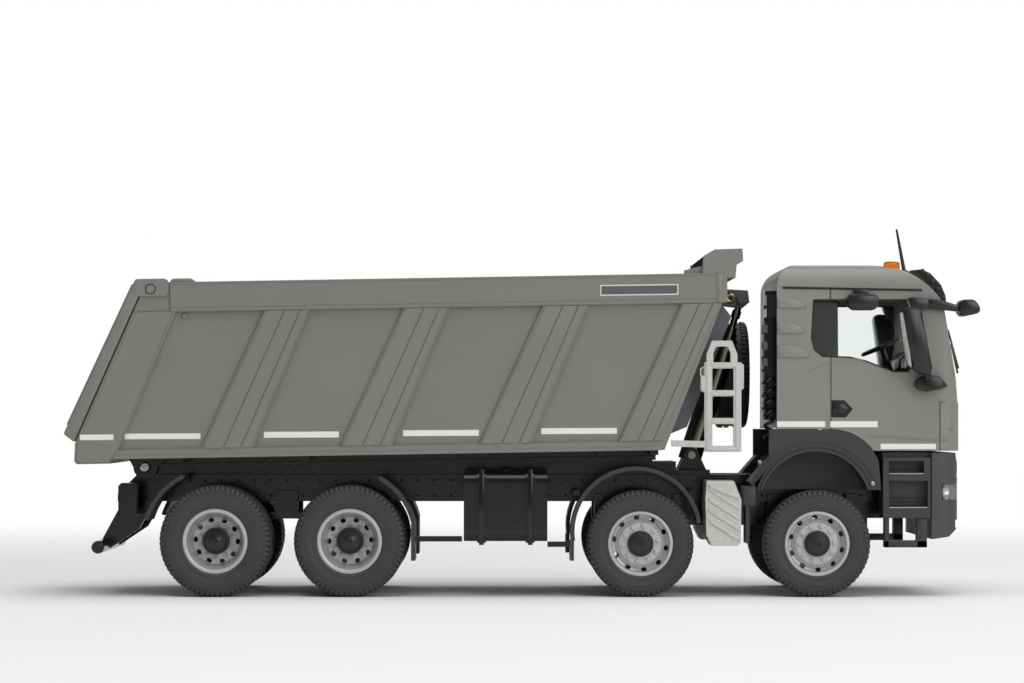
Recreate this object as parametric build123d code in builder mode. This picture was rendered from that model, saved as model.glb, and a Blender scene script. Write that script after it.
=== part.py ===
from build123d import *
import os
from math import atan2, cos, degrees, hypot, radians, sin, tan

# A four-axle tipper truck as a 1:50 die-cast model, in millimetres.
# +X is forward, +Y is the truck's left, +Z is up, and Z = 0 is the floor.
# X = 0 and Y = 0 lie in the middle of the model's box.

os.makedirs("parts", exist_ok=True)

# Clearances
SEAT = 0.3
RUN = 0.06
SIDE_PLAY = 0.15

# Wheels and axles
HALF_WIDTH = 25.0
FRONT_AXLES_X = (59.8, 23.9)
REAR_AXLES_X = (-35.2, -62.5)
FRONT_TYRE_R = 10.85
REAR_TYRE_R = 11.35
FRONT_TYRE_W = 7.0
TWIN_TYRE_W = 6.3
TWIN_GAP = 0.8
RIM_R = 6.65
RIM_LIP = 0.7
BEAD_R = 6.3
HUB_R = 2.6
SPINDLE_R = 1.1
HAND_HOLES = 10
HAND_HOLE_R = 0.5
KINGPIN_Y = HALF_WIDTH - 7.8
KINGPIN_R = 0.5
KNUCKLE_R = 1.15
KNUCKLE_H = 3.4
EAR_T = 1.0

# Frame
RAIL_Y = 8.5
RAIL_FLANGE = 2.8
RAIL_T = 0.8
RAIL_BOTTOM = 19.1
RAIL_TOP = 24.7
RAIL_REAR = -84.0
RAIL_FRONT = 83.0
RAIL_BEVEL = 4.1
CAB_SILL = 34.3
CAB_MOUNTS_X = (54.3, 79.5)
CAB_MOUNT_W = 2.6
CROSSMEMBERS_X = (-81.0, -48.8, -12.0, 12.0, 41.5, 78.0)
CROSSMEMBER_W = 3.0

# Tipper body, drawn in its own raked plane: u forward along the lower edge, v up
RAKE = 0.95
BOX_FOOT_Z = 29.4
BOX_H = 35.75
BOX_WALL_Y = HALF_WIDTH - 1.0
BOX_WALL = 1.4
BOX_FLOOR = 1.6
TOP_RAIL_H = 6.0
FOOT_RAIL_H = 1.8
PROUD = 0.8
BOX_FRONT_FOOT_U = 28.75
BOX_FRONT_HEAD_U = 41.05
BOX_REAR_FOOT_U = -92.4
REAR_LEAN = 0.4626
RIB_COUNT = 3
RIB_FIRST_U = -65.3
RIB_PITCH = 28.25
RIB_FOOT_W = 10.5
RIB_HEAD_W = 9.3
RIB_SHIFT = 13.4
POST_FOOT_U = -82.1
POST_HEAD_U = -69.9

# Tipping hinge, tailgate hinge and cylinder
TIP_X = -78.0
TIP_Z = 26.2
TIP_PIN_R = 1.0
GATE_PIN_U = -75.0
GATE_PIN_V = 34.4
GATE_ARM_R = 3.7
GATE_PIN_R = 0.9
CYL_FOOT_X = 35.5
CYL_FOOT_Z = 28.6
HEAD_AHEAD = 5.471
HEAD_RISE = 1.283
CYL_R = 2.4
STAGE_STEP = 0.42
STAGE_COUNT = 4

BOX_PLANE = Plane(
    origin=(0, 0, BOX_FOOT_Z),
    x_dir=(cos(radians(RAKE)), 0, sin(radians(RAKE))),
    z_dir=(0, -1, 0),
)
RAIL_V = BOX_H - TOP_RAIL_H
TIP_U = TIP_X * cos(radians(RAKE)) + (TIP_Z - BOX_FOOT_Z) * sin(radians(RAKE))
TIP_V = (TIP_Z - BOX_FOOT_Z) * cos(radians(RAKE)) - TIP_X * sin(radians(RAKE))
HEAD_U = BOX_FRONT_HEAD_U + HEAD_AHEAD
HEAD_V = RAIL_V + HEAD_RISE
CYL_HEAD_X = HEAD_U * cos(radians(RAKE)) - HEAD_V * sin(radians(RAKE))
CYL_HEAD_Z = BOX_FOOT_Z + HEAD_U * sin(radians(RAKE)) + HEAD_V * cos(radians(RAKE))
BRACKET_Y = 1.75
BRACKET_T = 0.9
BOX_REAR_HEAD_U = BOX_REAR_FOOT_U + REAR_LEAN * BOX_H


def rear_u(v):
    """The rear edge of the side walls at height v."""
    return BOX_REAR_FOOT_U + REAR_LEAN * v


def front_u(v):
    """The front wall's outer face at height v, upright behind the top rail."""
    share = min(v, RAIL_V) / RAIL_V
    return BOX_FRONT_FOOT_U + (BOX_FRONT_HEAD_U - BOX_FRONT_FOOT_U) * share


def side(points, plane, amount, mode=Mode.ADD, both=False):
    """Extrude a closed outline of straight edges from a plane."""
    with BuildSketch(plane) as outline:
        with BuildLine():
            Polyline(*points, close=True)
        make_face()
    extrude(outline.sketch, amount=amount, both=both, mode=mode)


def upright(y):
    """The XZ plane at distance y to the left, with its normal to the right."""
    return Plane(origin=(0, y, 0), x_dir=(1, 0, 0), z_dir=(0, -1, 0))


def across(points, y_inner, y_outer, mode=Mode.ADD, hands=(-1, 1)):
    """An XZ outline extruded between two distances from the middle, on both sides."""
    for hand in hands:
        high = max(hand * y_inner, hand * y_outer)
        side(points, upright(high), abs(y_outer - y_inner), mode=mode)


def rod_across(x, z, radius, y_from, y_to, mode=Mode.ADD):
    """A round bar along Y."""
    with BuildSketch(upright(y_to)) as round_end:
        with Locations((x, z)):
            Circle(radius)
    extrude(round_end.sketch, amount=y_to - y_from, mode=mode)


def block(x, y, z, mode=Mode.ADD):
    """A plain block between two values on each axis."""
    with BuildSketch(Plane.XY.offset(z[0])) as foot:
        with Locations(((x[0] + x[1]) / 2, (y[0] + y[1]) / 2)):
            Rectangle(x[1] - x[0], y[1] - y[0])
    extrude(foot.sketch, amount=z[1] - z[0], mode=mode)


def both_sides(x, y, z, mode=Mode.ADD):
    """The same block on the left and on the right."""
    for hand in (-1, 1):
        block(x, sorted((hand * y[0], hand * y[1])), z, mode)


# Frame rails with their crossmembers
with BuildPart() as frame_rails:
    for hand in (-1, 1):
        web = hand * RAIL_Y
        lip = hand * (RAIL_Y - RAIL_FLANGE)
        skin = hand * (RAIL_Y - RAIL_T)
        channel = [
            (web, RAIL_BOTTOM),
            (web, RAIL_TOP),
            (lip, RAIL_TOP),
            (lip, RAIL_TOP - RAIL_T),
            (skin, RAIL_TOP - RAIL_T),
            (skin, RAIL_BOTTOM + RAIL_T),
            (lip, RAIL_BOTTOM + RAIL_T),
            (lip, RAIL_BOTTOM),
        ]
        side(channel, Plane.YZ.offset(RAIL_REAR), RAIL_FRONT - RAIL_REAR)
    for x in CROSSMEMBERS_X:
        with BuildSketch(Plane.XY.offset(RAIL_BOTTOM + RAIL_T)):
            with Locations((x, 0)):
                Rectangle(CROSSMEMBER_W, 2 * (RAIL_Y - RAIL_T))
        extrude(amount=RAIL_TOP - RAIL_BOTTOM - 2 * RAIL_T)
    tipped = [
        (RAIL_REAR - 1, RAIL_TOP - RAIL_BEVEL - 1),
        (RAIL_REAR + RAIL_BEVEL, RAIL_TOP),
        (RAIL_REAR + RAIL_BEVEL, RAIL_TOP + 1),
        (RAIL_REAR - 1, RAIL_TOP + 1),
    ]
    side(tipped, Plane.XZ, RAIL_Y + 1, mode=Mode.SUBTRACT, both=True)
    for x in CAB_MOUNTS_X:
        mount_x = (x - CAB_MOUNT_W / 2, x + CAB_MOUNT_W / 2)
        both_sides(mount_x, (RAIL_Y - RAIL_FLANGE, RAIL_Y), (RAIL_TOP, CAB_SILL - SEAT))
frame_rails.part.label = "frame_rails"
export_step(frame_rails.part, "parts/frame_rails.step")

# Subframe: two wedge beams under the raked body, with the tipping pins at its rear
SUB_Y = 7.6
SUB_W = 2.4
SUB_FRONT = CYL_FOOT_X - 3.5
SUB_REAR_H = 0.9
SUB_REAR = TIP_X + 3.4
SUB_TIES_X = (-60.0, -30.0, 0.0, 27.0)
SUB_TIE_W = 2.0
TIP_PIN_Y = RAIL_Y + 3.4
CYL_EAR_Y = CYL_R + SEAT
CYL_EAR_T = 1.0
CYL_PIN_R = 0.8
TIP_TUBE_R = TIP_PIN_R + 0.3
with BuildPart() as subframe:
    sub_rise = (SUB_FRONT - SUB_REAR) * tan(radians(RAKE))
    wedge = [
        (SUB_REAR, RAIL_TOP),
        (SUB_FRONT, RAIL_TOP),
        (SUB_FRONT, RAIL_TOP + SUB_REAR_H + sub_rise),
        (SUB_REAR, RAIL_TOP + SUB_REAR_H),
    ]
    across(wedge, SUB_Y - SUB_W, SUB_Y)
    for x in SUB_TIES_X:
        half_tie = SUB_TIE_W / 2
        inner_y = SUB_Y - SUB_W
        block((x - half_tie, x + half_tie), (-inner_y, inner_y), (RAIL_TOP, RAIL_TOP + SUB_REAR_H))
    both_sides((TIP_X - TIP_TUBE_R, SUB_REAR + 1), (SUB_Y - SUB_W, SUB_Y), (RAIL_TOP, RAIL_TOP + 0.8))
    rod_across(TIP_X, TIP_Z, TIP_TUBE_R, -RAIL_Y, RAIL_Y)
    rod_across(TIP_X, TIP_Z, TIP_PIN_R, -TIP_PIN_Y, TIP_PIN_Y)
    mount_foot = RAIL_TOP + SUB_REAR_H
    block((CYL_FOOT_X - 3.5, CYL_FOOT_X + 3.5), (-RAIL_Y, RAIL_Y), (RAIL_TOP, mount_foot))
    ear = [
        (CYL_FOOT_X - 3.0, mount_foot),
        (CYL_FOOT_X + 3.0, mount_foot),
        (CYL_FOOT_X + 1.6, CYL_FOOT_Z),
        (CYL_FOOT_X - 1.6, CYL_FOOT_Z),
    ]
    across(ear, CYL_EAR_Y, CYL_EAR_Y + CYL_EAR_T)
    for hand in (-1, 1):
        y_pair = sorted((hand * CYL_EAR_Y, hand * (CYL_EAR_Y + CYL_EAR_T)))
        rod_across(CYL_FOOT_X, CYL_FOOT_Z, 1.6, y_pair[0], y_pair[1])
        rod_across(CYL_FOOT_X, CYL_FOOT_Z, CYL_PIN_R + RUN, y_pair[0] - 1, y_pair[1] + 1, mode=Mode.SUBTRACT)
subframe.part.label = "subframe"
export_step(subframe.part, "parts/subframe.step")

# Engine and gearbox, one plain block under the cab
ENGINE_X = (50.0, 76.0)
ENGINE_Y = 5.3
ENGINE_Z = (15.5, 27.5)
GEARBOX_X = (30.0, 50.0)
GEARBOX_Y = 3.6
GEARBOX_Z = (14.0, 20.5)
with BuildPart() as engine_block:
    block(ENGINE_X, (-ENGINE_Y, ENGINE_Y), ENGINE_Z)
    block(GEARBOX_X, (-GEARBOX_Y, GEARBOX_Y), GEARBOX_Z)
    for x in CROSSMEMBERS_X:
        gap = CROSSMEMBER_W / 2 + SEAT
        block((x - gap, x + gap), (-RAIL_Y, RAIL_Y), (RAIL_BOTTOM, RAIL_TOP + SEAT), mode=Mode.SUBTRACT)
engine_block.part.label = "engine_block"
export_step(engine_block.part, "parts/engine_block.step")

# Axles. Each front beam ends in two ears that hold a kingpin; each rear beam has a
# round differential housing and ends in the two spindles.
BEAM_H = 1.8
BEAM_W = 2.4
EAR_GAP = KNUCKLE_H + 2 * SIDE_PLAY
EAR_R = 1.15
DIFF_R = 3.6
DIFF_W = 5.0
AXLE_TUBE_R = 1.6
SPRING_Y = (RAIL_Y + 0.4, RAIL_Y + 1.8)
SPRING_HALF = 9.0
SPRING_T = 1.3
TWIN_W = 2 * TWIN_TYRE_W + TWIN_GAP
TWIN_INNER_Y = HALF_WIDTH - TWIN_W
with BuildPart() as front_axles:
    for x in FRONT_AXLES_X:
        beam_z = FRONT_TYRE_R
        block(
            (x - BEAM_W / 2, x + BEAM_W / 2),
            (-KINGPIN_Y + EAR_R + 1.0, KINGPIN_Y - EAR_R - 1.0),
            (beam_z - BEAM_H / 2, beam_z + BEAM_H / 2),
        )
        with BuildSketch(Plane.XZ) as housing:
            with Locations((x, beam_z)):
                Circle(DIFF_R - 0.6)
        extrude(housing.sketch, amount=DIFF_W / 2, both=True)
        for hand in (-1, 1):
            pin_y = hand * KINGPIN_Y
            fork_y = sorted((hand * (KINGPIN_Y - EAR_R - 1.2), hand * (KINGPIN_Y - EAR_R - 0.2)))
            half_fork = EAR_GAP / 2 + EAR_T
            block((x - 0.9, x + 0.9), fork_y, (beam_z - half_fork, beam_z + half_fork))
            for z in (beam_z - half_fork, beam_z + EAR_GAP / 2):
                ear_y = sorted((hand * (KINGPIN_Y - EAR_R - 1.0), pin_y))
                block((x - 0.9, x + 0.9), ear_y, (z, z + EAR_T))
                with BuildSketch(Plane.XY.offset(z)) as ear:
                    with Locations((x, pin_y)):
                        Circle(EAR_R)
                extrude(ear.sketch, amount=EAR_T)
            with BuildSketch(Plane.XY.offset(beam_z - half_fork)) as kingpin:
                with Locations((x, pin_y)):
                    Circle(KINGPIN_R)
            extrude(kingpin.sketch, amount=2 * half_fork)
front_axles.part.label = "front_axles"
export_step(front_axles.part, "parts/front_axles.step")

with BuildPart() as rear_axles:
    for x in REAR_AXLES_X:
        rod_across(x, REAR_TYRE_R, DIFF_R, -DIFF_W / 2, DIFF_W / 2)
        rod_across(x, REAR_TYRE_R, AXLE_TUBE_R, -TWIN_INNER_Y + SEAT, TWIN_INNER_Y - SEAT)
        rod_across(x, REAR_TYRE_R, SPINDLE_R, -HALF_WIDTH + 8.0, HALF_WIDTH - 8.0)
rear_axles.part.label = "rear_axles"
export_step(rear_axles.part, "parts/rear_axles.step")

# Leaf springs: one bent pack over each front axle beam, one long pack on the rear pair
SPRING_ARCH = 2.6
REAR_SPRING_Z = REAR_TYRE_R + AXLE_TUBE_R


def leaf_pack(x_from, x_to, z_end, z_middle, y_pair):
    """A pack of leaves as one bow between two ends."""
    for hand in (-1, 1):
        high = max(hand * y_pair[0], hand * y_pair[1])
        middle = (x_from + x_to) / 2
        with BuildSketch(upright(high)) as bow:
            with BuildLine():
                ThreePointArc((x_from, z_end), (middle, z_middle), (x_to, z_end))
                Line((x_to, z_end), (x_to, z_end + SPRING_T))
                ThreePointArc((x_to, z_end + SPRING_T), (middle, z_middle + SPRING_T), (x_from, z_end + SPRING_T))
                Line((x_from, z_end + SPRING_T), (x_from, z_end))
            make_face()
        extrude(bow.sketch, amount=y_pair[1] - y_pair[0])


with BuildPart() as leaf_springs:
    for x in FRONT_AXLES_X:
        z_seat = FRONT_TYRE_R + BEAM_H / 2
        leaf_pack(x - SPRING_HALF, x + SPRING_HALF, z_seat + SPRING_ARCH, z_seat, SPRING_Y)
        for end in (x - SPRING_HALF + 0.9, x + SPRING_HALF - 0.9):
            both_sides((end - 0.9, end + 0.9), SPRING_Y, (z_seat + SPRING_ARCH, RAIL_BOTTOM + 1.6))
            both_sides((end - 0.9, end + 0.9), (RAIL_Y, SPRING_Y[0]), (RAIL_BOTTOM, RAIL_BOTTOM + 1.6))
    bogie_x = sum(REAR_AXLES_X) / 2
    bogie_half = (REAR_AXLES_X[0] - REAR_AXLES_X[1]) / 2 + 2.0
    leaf_pack(bogie_x - bogie_half, bogie_x + bogie_half, REAR_SPRING_Z, REAR_SPRING_Z + 2.6, SPRING_Y)
    both_sides((bogie_x - 2.4, bogie_x + 2.4), (RAIL_Y, SPRING_Y[1]), (REAR_SPRING_Z + 2.8, RAIL_BOTTOM + 2.2))
leaf_springs.part.label = "leaf_springs"
export_step(leaf_springs.part, "parts/leaf_springs.step")

# Steering knuckles: a barrel on the kingpin with the wheel's spindle
with_names = ("axle_1", "axle_2")
SPINDLE_TIP_Y = HALF_WIDTH - 3.6
for axle, x in zip(with_names, FRONT_AXLES_X):
    for side_name, hand in (("right", -1), ("left", 1)):
        with BuildPart() as knuckle:
            with BuildSketch(Plane.XY.offset(FRONT_TYRE_R - KNUCKLE_H / 2)):
                with Locations((x, hand * KINGPIN_Y)):
                    Circle(KNUCKLE_R)
            extrude(amount=KNUCKLE_H)
            y_pair = sorted((hand * KINGPIN_Y, hand * SPINDLE_TIP_Y))
            rod_across(x, FRONT_TYRE_R, SPINDLE_R, y_pair[0], y_pair[1])
            with BuildSketch(Plane.XY.offset(FRONT_TYRE_R - KNUCKLE_H)):
                with Locations((x, hand * KINGPIN_Y)):
                    Circle(KINGPIN_R + RUN)
            extrude(amount=2 * KNUCKLE_H, mode=Mode.SUBTRACT)
        knuckle.part.label = f"knuckle_{axle}_{side_name}"
        export_step(knuckle.part, f"parts/knuckle_{axle}_{side_name}.step")


def turned(points, x, z, hand):
    """Revolve an outline of (radius, distance in from the wheel's outer face)."""
    face = Plane(origin=(x, hand * HALF_WIDTH, z), x_dir=(1, 0, 0), z_dir=(0, 0, 1))
    with BuildSketch(face) as section:
        with BuildLine():
            Polyline(*[(r, -hand * a) for r, a in points], close=True)
        make_face()
    revolve(section.sketch, axis=Axis((x, 0, z), (0, 1, 0)), revolution_arc=360)


def drilled(x, z, hand, ring_r, hole_r, count, depth):
    """A ring of holes drilled in from the wheel's outer face."""
    face = Plane(origin=(x, hand * HALF_WIDTH, z), x_dir=(1, 0, 0), z_dir=(0, -hand, 0))
    with BuildSketch(face) as holes:
        with PolarLocations(ring_r, count):
            Circle(hole_r)
    extrude(holes.sketch, amount=depth, mode=Mode.SUBTRACT)


def tyre_outline(tyre_r, width, start):
    """A tyre's section from its outer to its inner bead."""
    end = start + width
    return [
        (BEAD_R + 0.05, start + RIM_LIP + 0.75),
        (RIM_R + 0.05, start + RIM_LIP + 0.2),
        (RIM_R + 0.1, start + 0.45),
        (RIM_R + 1.6, start),
        (tyre_r - 0.9, start + 0.25),
        (tyre_r - 0.15, start + 0.75),
        (tyre_r, start + 1.4),
        (tyre_r, end - 1.4),
        (tyre_r - 0.15, end - 0.75),
        (tyre_r - 0.9, end - 0.25),
        (RIM_R + 1.6, end),
        (RIM_R + 0.1, end - 0.45),
        (RIM_R + 0.05, end - RIM_LIP - 0.2),
        (BEAD_R + 0.05, end - RIM_LIP - 0.75),
    ]


# Front wheels: a convex dished disc with hand holes, and a closed hub with its bore
FRONT_RIM = [
    (0, 0.5),
    (1.9, 0.65),
    (HUB_R, 1.1),
    (HUB_R, 1.7),
    (4.4, 1.7),
    (4.7, 2.3),
    (5.9, 2.5),
    (5.95, RIM_LIP),
    (RIM_R, RIM_LIP - 0.1),
    (RIM_R, RIM_LIP + 0.15),
    (BEAD_R, RIM_LIP + 0.7),
    (BEAD_R, FRONT_TYRE_W - RIM_LIP - 0.7),
    (RIM_R, FRONT_TYRE_W - RIM_LIP - 0.15),
    (RIM_R, FRONT_TYRE_W - RIM_LIP + 0.1),
    (5.95, FRONT_TYRE_W - RIM_LIP),
    (5.9, 3.3),
    (2.0, 3.1),
    (2.0, 5.6),
    (SPINDLE_R + RUN, 5.6),
    (SPINDLE_R + RUN, 3.3),
    (0, 3.3),
]
for axle, x in zip(with_names, FRONT_AXLES_X):
    for side_name, hand in (("right", -1), ("left", 1)):
        with BuildPart() as tyre:
            turned(tyre_outline(FRONT_TYRE_R, FRONT_TYRE_W, 0), x, FRONT_TYRE_R, hand)
        tyre.part.label = f"tyre_{axle}_{side_name}"
        export_step(tyre.part, f"parts/tyre_{axle}_{side_name}.step")
        with BuildPart() as rim:
            turned(FRONT_RIM, x, FRONT_TYRE_R, hand)
            drilled(x, FRONT_TYRE_R, hand, 5.3, HAND_HOLE_R, HAND_HOLES, 4.0)
        rim.part.label = f"rim_{axle}_{side_name}"
        export_step(rim.part, f"parts/rim_{axle}_{side_name}.step")

# Rear wheels: two tyres on one deep dished rim
DISC_IN = 5.4
REAR_HUB_OUT = 2.2
REAR_RIM = [
    (0, REAR_HUB_OUT),
    (2.3, REAR_HUB_OUT + 0.1),
    (HUB_R + 0.1, REAR_HUB_OUT + 0.6),
    (HUB_R + 0.1, DISC_IN - 0.6),
    (4.9, DISC_IN),
    (5.5, DISC_IN - 0.5),
    (5.85, RIM_LIP),
    (RIM_R, RIM_LIP - 0.1),
    (RIM_R, RIM_LIP + 0.15),
    (BEAD_R, RIM_LIP + 0.7),
    (BEAD_R, TWIN_W - RIM_LIP - 0.7),
    (RIM_R, TWIN_W - RIM_LIP - 0.15),
    (RIM_R, TWIN_W - RIM_LIP + 0.1),
    (5.95, TWIN_W - RIM_LIP),
    (5.9, DISC_IN + 0.9),
    (2.2, DISC_IN + 0.8),
    (2.2, TWIN_W - 2.2),
    (SPINDLE_R + RUN, TWIN_W - 2.2),
    (SPINDLE_R + RUN, 7.4),
    (0, 7.4),
]
for axle, x in zip(("axle_3", "axle_4"), REAR_AXLES_X):
    for side_name, hand in (("right", -1), ("left", 1)):
        with BuildPart() as tyres:
            turned(tyre_outline(REAR_TYRE_R, TWIN_TYRE_W, 0), x, REAR_TYRE_R, hand)
            turned(tyre_outline(REAR_TYRE_R, TWIN_TYRE_W, TWIN_TYRE_W + TWIN_GAP), x, REAR_TYRE_R, hand)
        tyres.part.label = f"tyres_{axle}_{side_name}"
        export_step(tyres.part, f"parts/tyres_{axle}_{side_name}.step")
        with BuildPart() as rim:
            turned(REAR_RIM, x, REAR_TYRE_R, hand)
            drilled(x, REAR_TYRE_R, hand, 4.25, HAND_HOLE_R, HAND_HOLES, DISC_IN + 2.0)
        rim.part.label = f"rim_{axle}_{side_name}"
        export_step(rim.part, f"parts/rim_{axle}_{side_name}.step")

# Tipper body: raked trough with stakes, rails and posts, open at the top and rear
with BuildPart() as tipper_box:
    outer = [
        (rear_u(3.3), 3.3),
        (rear_u(3.3) - 0.2, -0.4),
        (rear_u(3.3) + 0.3, -0.9),
        (-84.0, -0.9),
        (-83.2, 0),
        (front_u(0), 0),
        (front_u(RAIL_V), RAIL_V),
        (front_u(BOX_H), BOX_H),
        (rear_u(BOX_H), BOX_H),
    ]
    side(outer, BOX_PLANE, BOX_WALL_Y, both=True)
    top = BOX_H + 4
    front_t = BOX_WALL * 1.1
    inner = [
        (BOX_REAR_FOOT_U - 5, BOX_FLOOR),
        (front_u(BOX_FLOOR) - front_t, BOX_FLOOR),
        (front_u(RAIL_V) - front_t, RAIL_V),
        (front_u(top) - front_t, top),
        (BOX_REAR_FOOT_U - 5, top),
    ]
    side(inner, BOX_PLANE, BOX_WALL_Y - BOX_WALL, both=True, mode=Mode.SUBTRACT)
    face = BOX_PLANE.offset(BOX_WALL_Y)
    rail_end = GATE_PIN_U + GATE_ARM_R + SEAT
    top_rail = [
        (rail_end, RAIL_V),
        (front_u(RAIL_V), RAIL_V),
        (front_u(BOX_H), BOX_H),
        (rail_end, BOX_H),
    ]
    side(top_rail, face, HALF_WIDTH - BOX_WALL_Y)
    foot_rail = [(-83.2, 0), (front_u(0), 0), (front_u(FOOT_RAIL_H), FOOT_RAIL_H), (-83.2, FOOT_RAIL_H)]
    side(foot_rail, face, PROUD)
    for i in range(RIB_COUNT):
        foot = RIB_FIRST_U + i * RIB_PITCH
        head = foot + RIB_SHIFT
        stake = [
            (foot, FOOT_RAIL_H),
            (foot + RIB_FOOT_W, FOOT_RAIL_H),
            (head + RIB_HEAD_W, RAIL_V),
            (head, RAIL_V),
        ]
        side(stake, face, PROUD)
    post_foot = RIB_FIRST_U + RIB_COUNT * RIB_PITCH
    front_post = [
        (post_foot, FOOT_RAIL_H),
        (front_u(FOOT_RAIL_H), FOOT_RAIL_H),
        (front_u(RAIL_V), RAIL_V),
        (post_foot + RIB_SHIFT, RAIL_V),
    ]
    side(front_post, face, PROUD)
    rear_post = [
        (rear_u(3.3) - 0.2, -0.4),
        (rear_u(3.3) + 0.3, -0.9),
        (-84.0, -0.9),
        (POST_FOOT_U, FOOT_RAIL_H),
        (POST_HEAD_U, RAIL_V),
        (rear_u(RAIL_V), RAIL_V),
        (rear_u(3.3), 3.3),
    ]
    side(rear_post, face, PROUD)
    mirror(about=Plane.XZ)
    cap = [(front_u(RAIL_V), RAIL_V), (front_u(RAIL_V) + 1.0, RAIL_V), (front_u(RAIL_V) + 1.0, BOX_H)]
    cap.append((front_u(RAIL_V), BOX_H))
    side(cap, BOX_PLANE, HALF_WIDTH, both=True)
    # The upright of the front wall on the right half, darker and standing forward
    nose = [
        (front_u(3.2), 3.2),
        (front_u(4.6) + 3.0, 4.6),
        (front_u(RAIL_V - 2.75) + 3.2, RAIL_V - 2.75),
        (front_u(RAIL_V), RAIL_V),
    ]
    side(nose, BOX_PLANE.offset(8.0), 12.0)
    for start in (-BRACKET_Y, BRACKET_Y + BRACKET_T):
        plate = [
            (front_u(RAIL_V), RAIL_V + 0.3),
            (HEAD_U + 0.2, HEAD_V - 1.8),
            (HEAD_U + 1.7, HEAD_V - 0.6),
            (HEAD_U + 1.4, HEAD_V + 1.9),
            (front_u(RAIL_V), HEAD_V + 2.4),
        ]
        side(plate, BOX_PLANE.offset(-start if start > 0 else -start - BRACKET_T), BRACKET_T)
    for hand in (-1, 1):
        y_pair = sorted((hand * (BRACKET_Y - 0.6), hand * (BRACKET_Y + BRACKET_T + 0.5)))
        rod_across(CYL_HEAD_X, CYL_HEAD_Z, 0.9, y_pair[0], y_pair[1])
tipper_box.part.label = "tipper_box"
export_step(tipper_box.part, "parts/tipper_box.step")

# Floor frame under the body: two beams, ties and the plates of the tipping hinge
BEAM_GAP = 0.35
HINGE_Y = (RAIL_Y + 1.0, RAIL_Y + 2.4)
HINGE_R = 2.5
HINGE_PLATE_T = 0.35
TIE_T = 1.0
TIE_W = 1.6
TIES_U = (TIP_X + 7.0, -45.0, -15.0, 15.0, 26.0)
with BuildPart() as floor_frame:
    room = BOX_FOOT_Z + SUB_REAR * tan(radians(RAKE)) - (RAIL_TOP + SUB_REAR_H)
    beam_h = room * cos(radians(RAKE)) - BEAM_GAP
    beam_front = BOX_FRONT_FOOT_U - 1.0
    beam = [(SUB_REAR, -beam_h), (beam_front, -beam_h), (beam_front, 0), (SUB_REAR, 0)]
    for start in (SUB_Y, -(SUB_Y - SUB_W)):
        side(beam, BOX_PLANE.offset(-start), SUB_W)
    for u in TIES_U:
        tie = [(u, -TIE_T), (u + TIE_W, -TIE_T), (u + TIE_W, 0), (u, 0)]
        side(tie, BOX_PLANE, BOX_WALL_Y - 1.0, both=True)
    lug = [
        (TIP_U - HINGE_R, TIP_V),
        (TIP_U - HINGE_R - 1.0, 0),
        (TIP_U + HINGE_R + 2.0, 0),
        (TIP_U + HINGE_R, TIP_V),
    ]
    for start in (HINGE_Y[1], -HINGE_Y[0]):
        side(lug, BOX_PLANE.offset(-start), HINGE_Y[1] - HINGE_Y[0])
    for hand in (-1, 1):
        y_pair = sorted((hand * HINGE_Y[0], hand * HINGE_Y[1]))
        rod_across(TIP_X, TIP_Z, HINGE_R, y_pair[0], y_pair[1])
        rod_across(TIP_X, TIP_Z, TIP_PIN_R + RUN, y_pair[0] - 1, y_pair[1] + 1, mode=Mode.SUBTRACT)
    plate_end = TIES_U[0] + TIE_W
    plate = [
        (TIP_U - HINGE_R - 1.0, -HINGE_PLATE_T),
        (plate_end, -HINGE_PLATE_T),
        (plate_end, 0),
        (TIP_U - HINGE_R - 1.0, 0),
    ]
    side(plate, BOX_PLANE, HINGE_Y[1], both=True)
    flush = [(TIP_U - 6.0, 0), (TIP_U + 8.0, 0), (TIP_U + 8.0, 3.0), (TIP_U - 6.0, 3.0)]
    side(flush, BOX_PLANE, HINGE_Y[1] + 1, both=True, mode=Mode.SUBTRACT)
floor_frame.part.label = "floor_frame"
export_step(floor_frame.part, "parts/floor_frame.step")

# Guard over the top of the front wall
with BuildPart() as front_guard:
    guard = [
        (front_u(BOX_H) - 4.0, BOX_H),
        (front_u(BOX_H) - 3.6, BOX_H + 3.6),
        (front_u(BOX_H) - 1.4, BOX_H + 4.8),
        (front_u(BOX_H) + 4.2, BOX_H + 4.9),
        (front_u(BOX_H) + 4.3, BOX_H + 2.4),
        (front_u(BOX_H) + 3.0, BOX_H + 2.0),
        (front_u(BOX_H) + 2.7, BOX_H - 1.0),
        (front_u(BOX_H) + 1.0, BOX_H - 1.0),
        (front_u(BOX_H) + 1.0, BOX_H),
    ]
    side(guard, BOX_PLANE, HALF_WIDTH, both=True)
    relief = [
        (front_u(BOX_H) - 10.0, BOX_H - 3.0),
        (front_u(BOX_H) + 0.0, BOX_H - 3.0),
        (front_u(BOX_H) + 0.0, BOX_H + 3.8),
        (front_u(BOX_H) - 10.0, BOX_H + 3.8),
    ]
    side(relief, BOX_PLANE, BOX_WALL_Y - BOX_WALL, both=True, mode=Mode.SUBTRACT)
    gusset = [(-7.6, 0), (-3.8, 0), (-3.8, 1.6), (-7.6, 0.7)]
    for hand in (-1, 1):
        outline = [(front_u(BOX_H) + u, BOX_H + v) for u, v in gusset]
        start = -BOX_WALL_Y + BOX_WALL if hand < 0 else BOX_WALL_Y
        side(outline, BOX_PLANE.offset(-start), BOX_WALL)
front_guard.part.label = "front_guard"
export_step(front_guard.part, "parts/front_guard.step")

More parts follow.
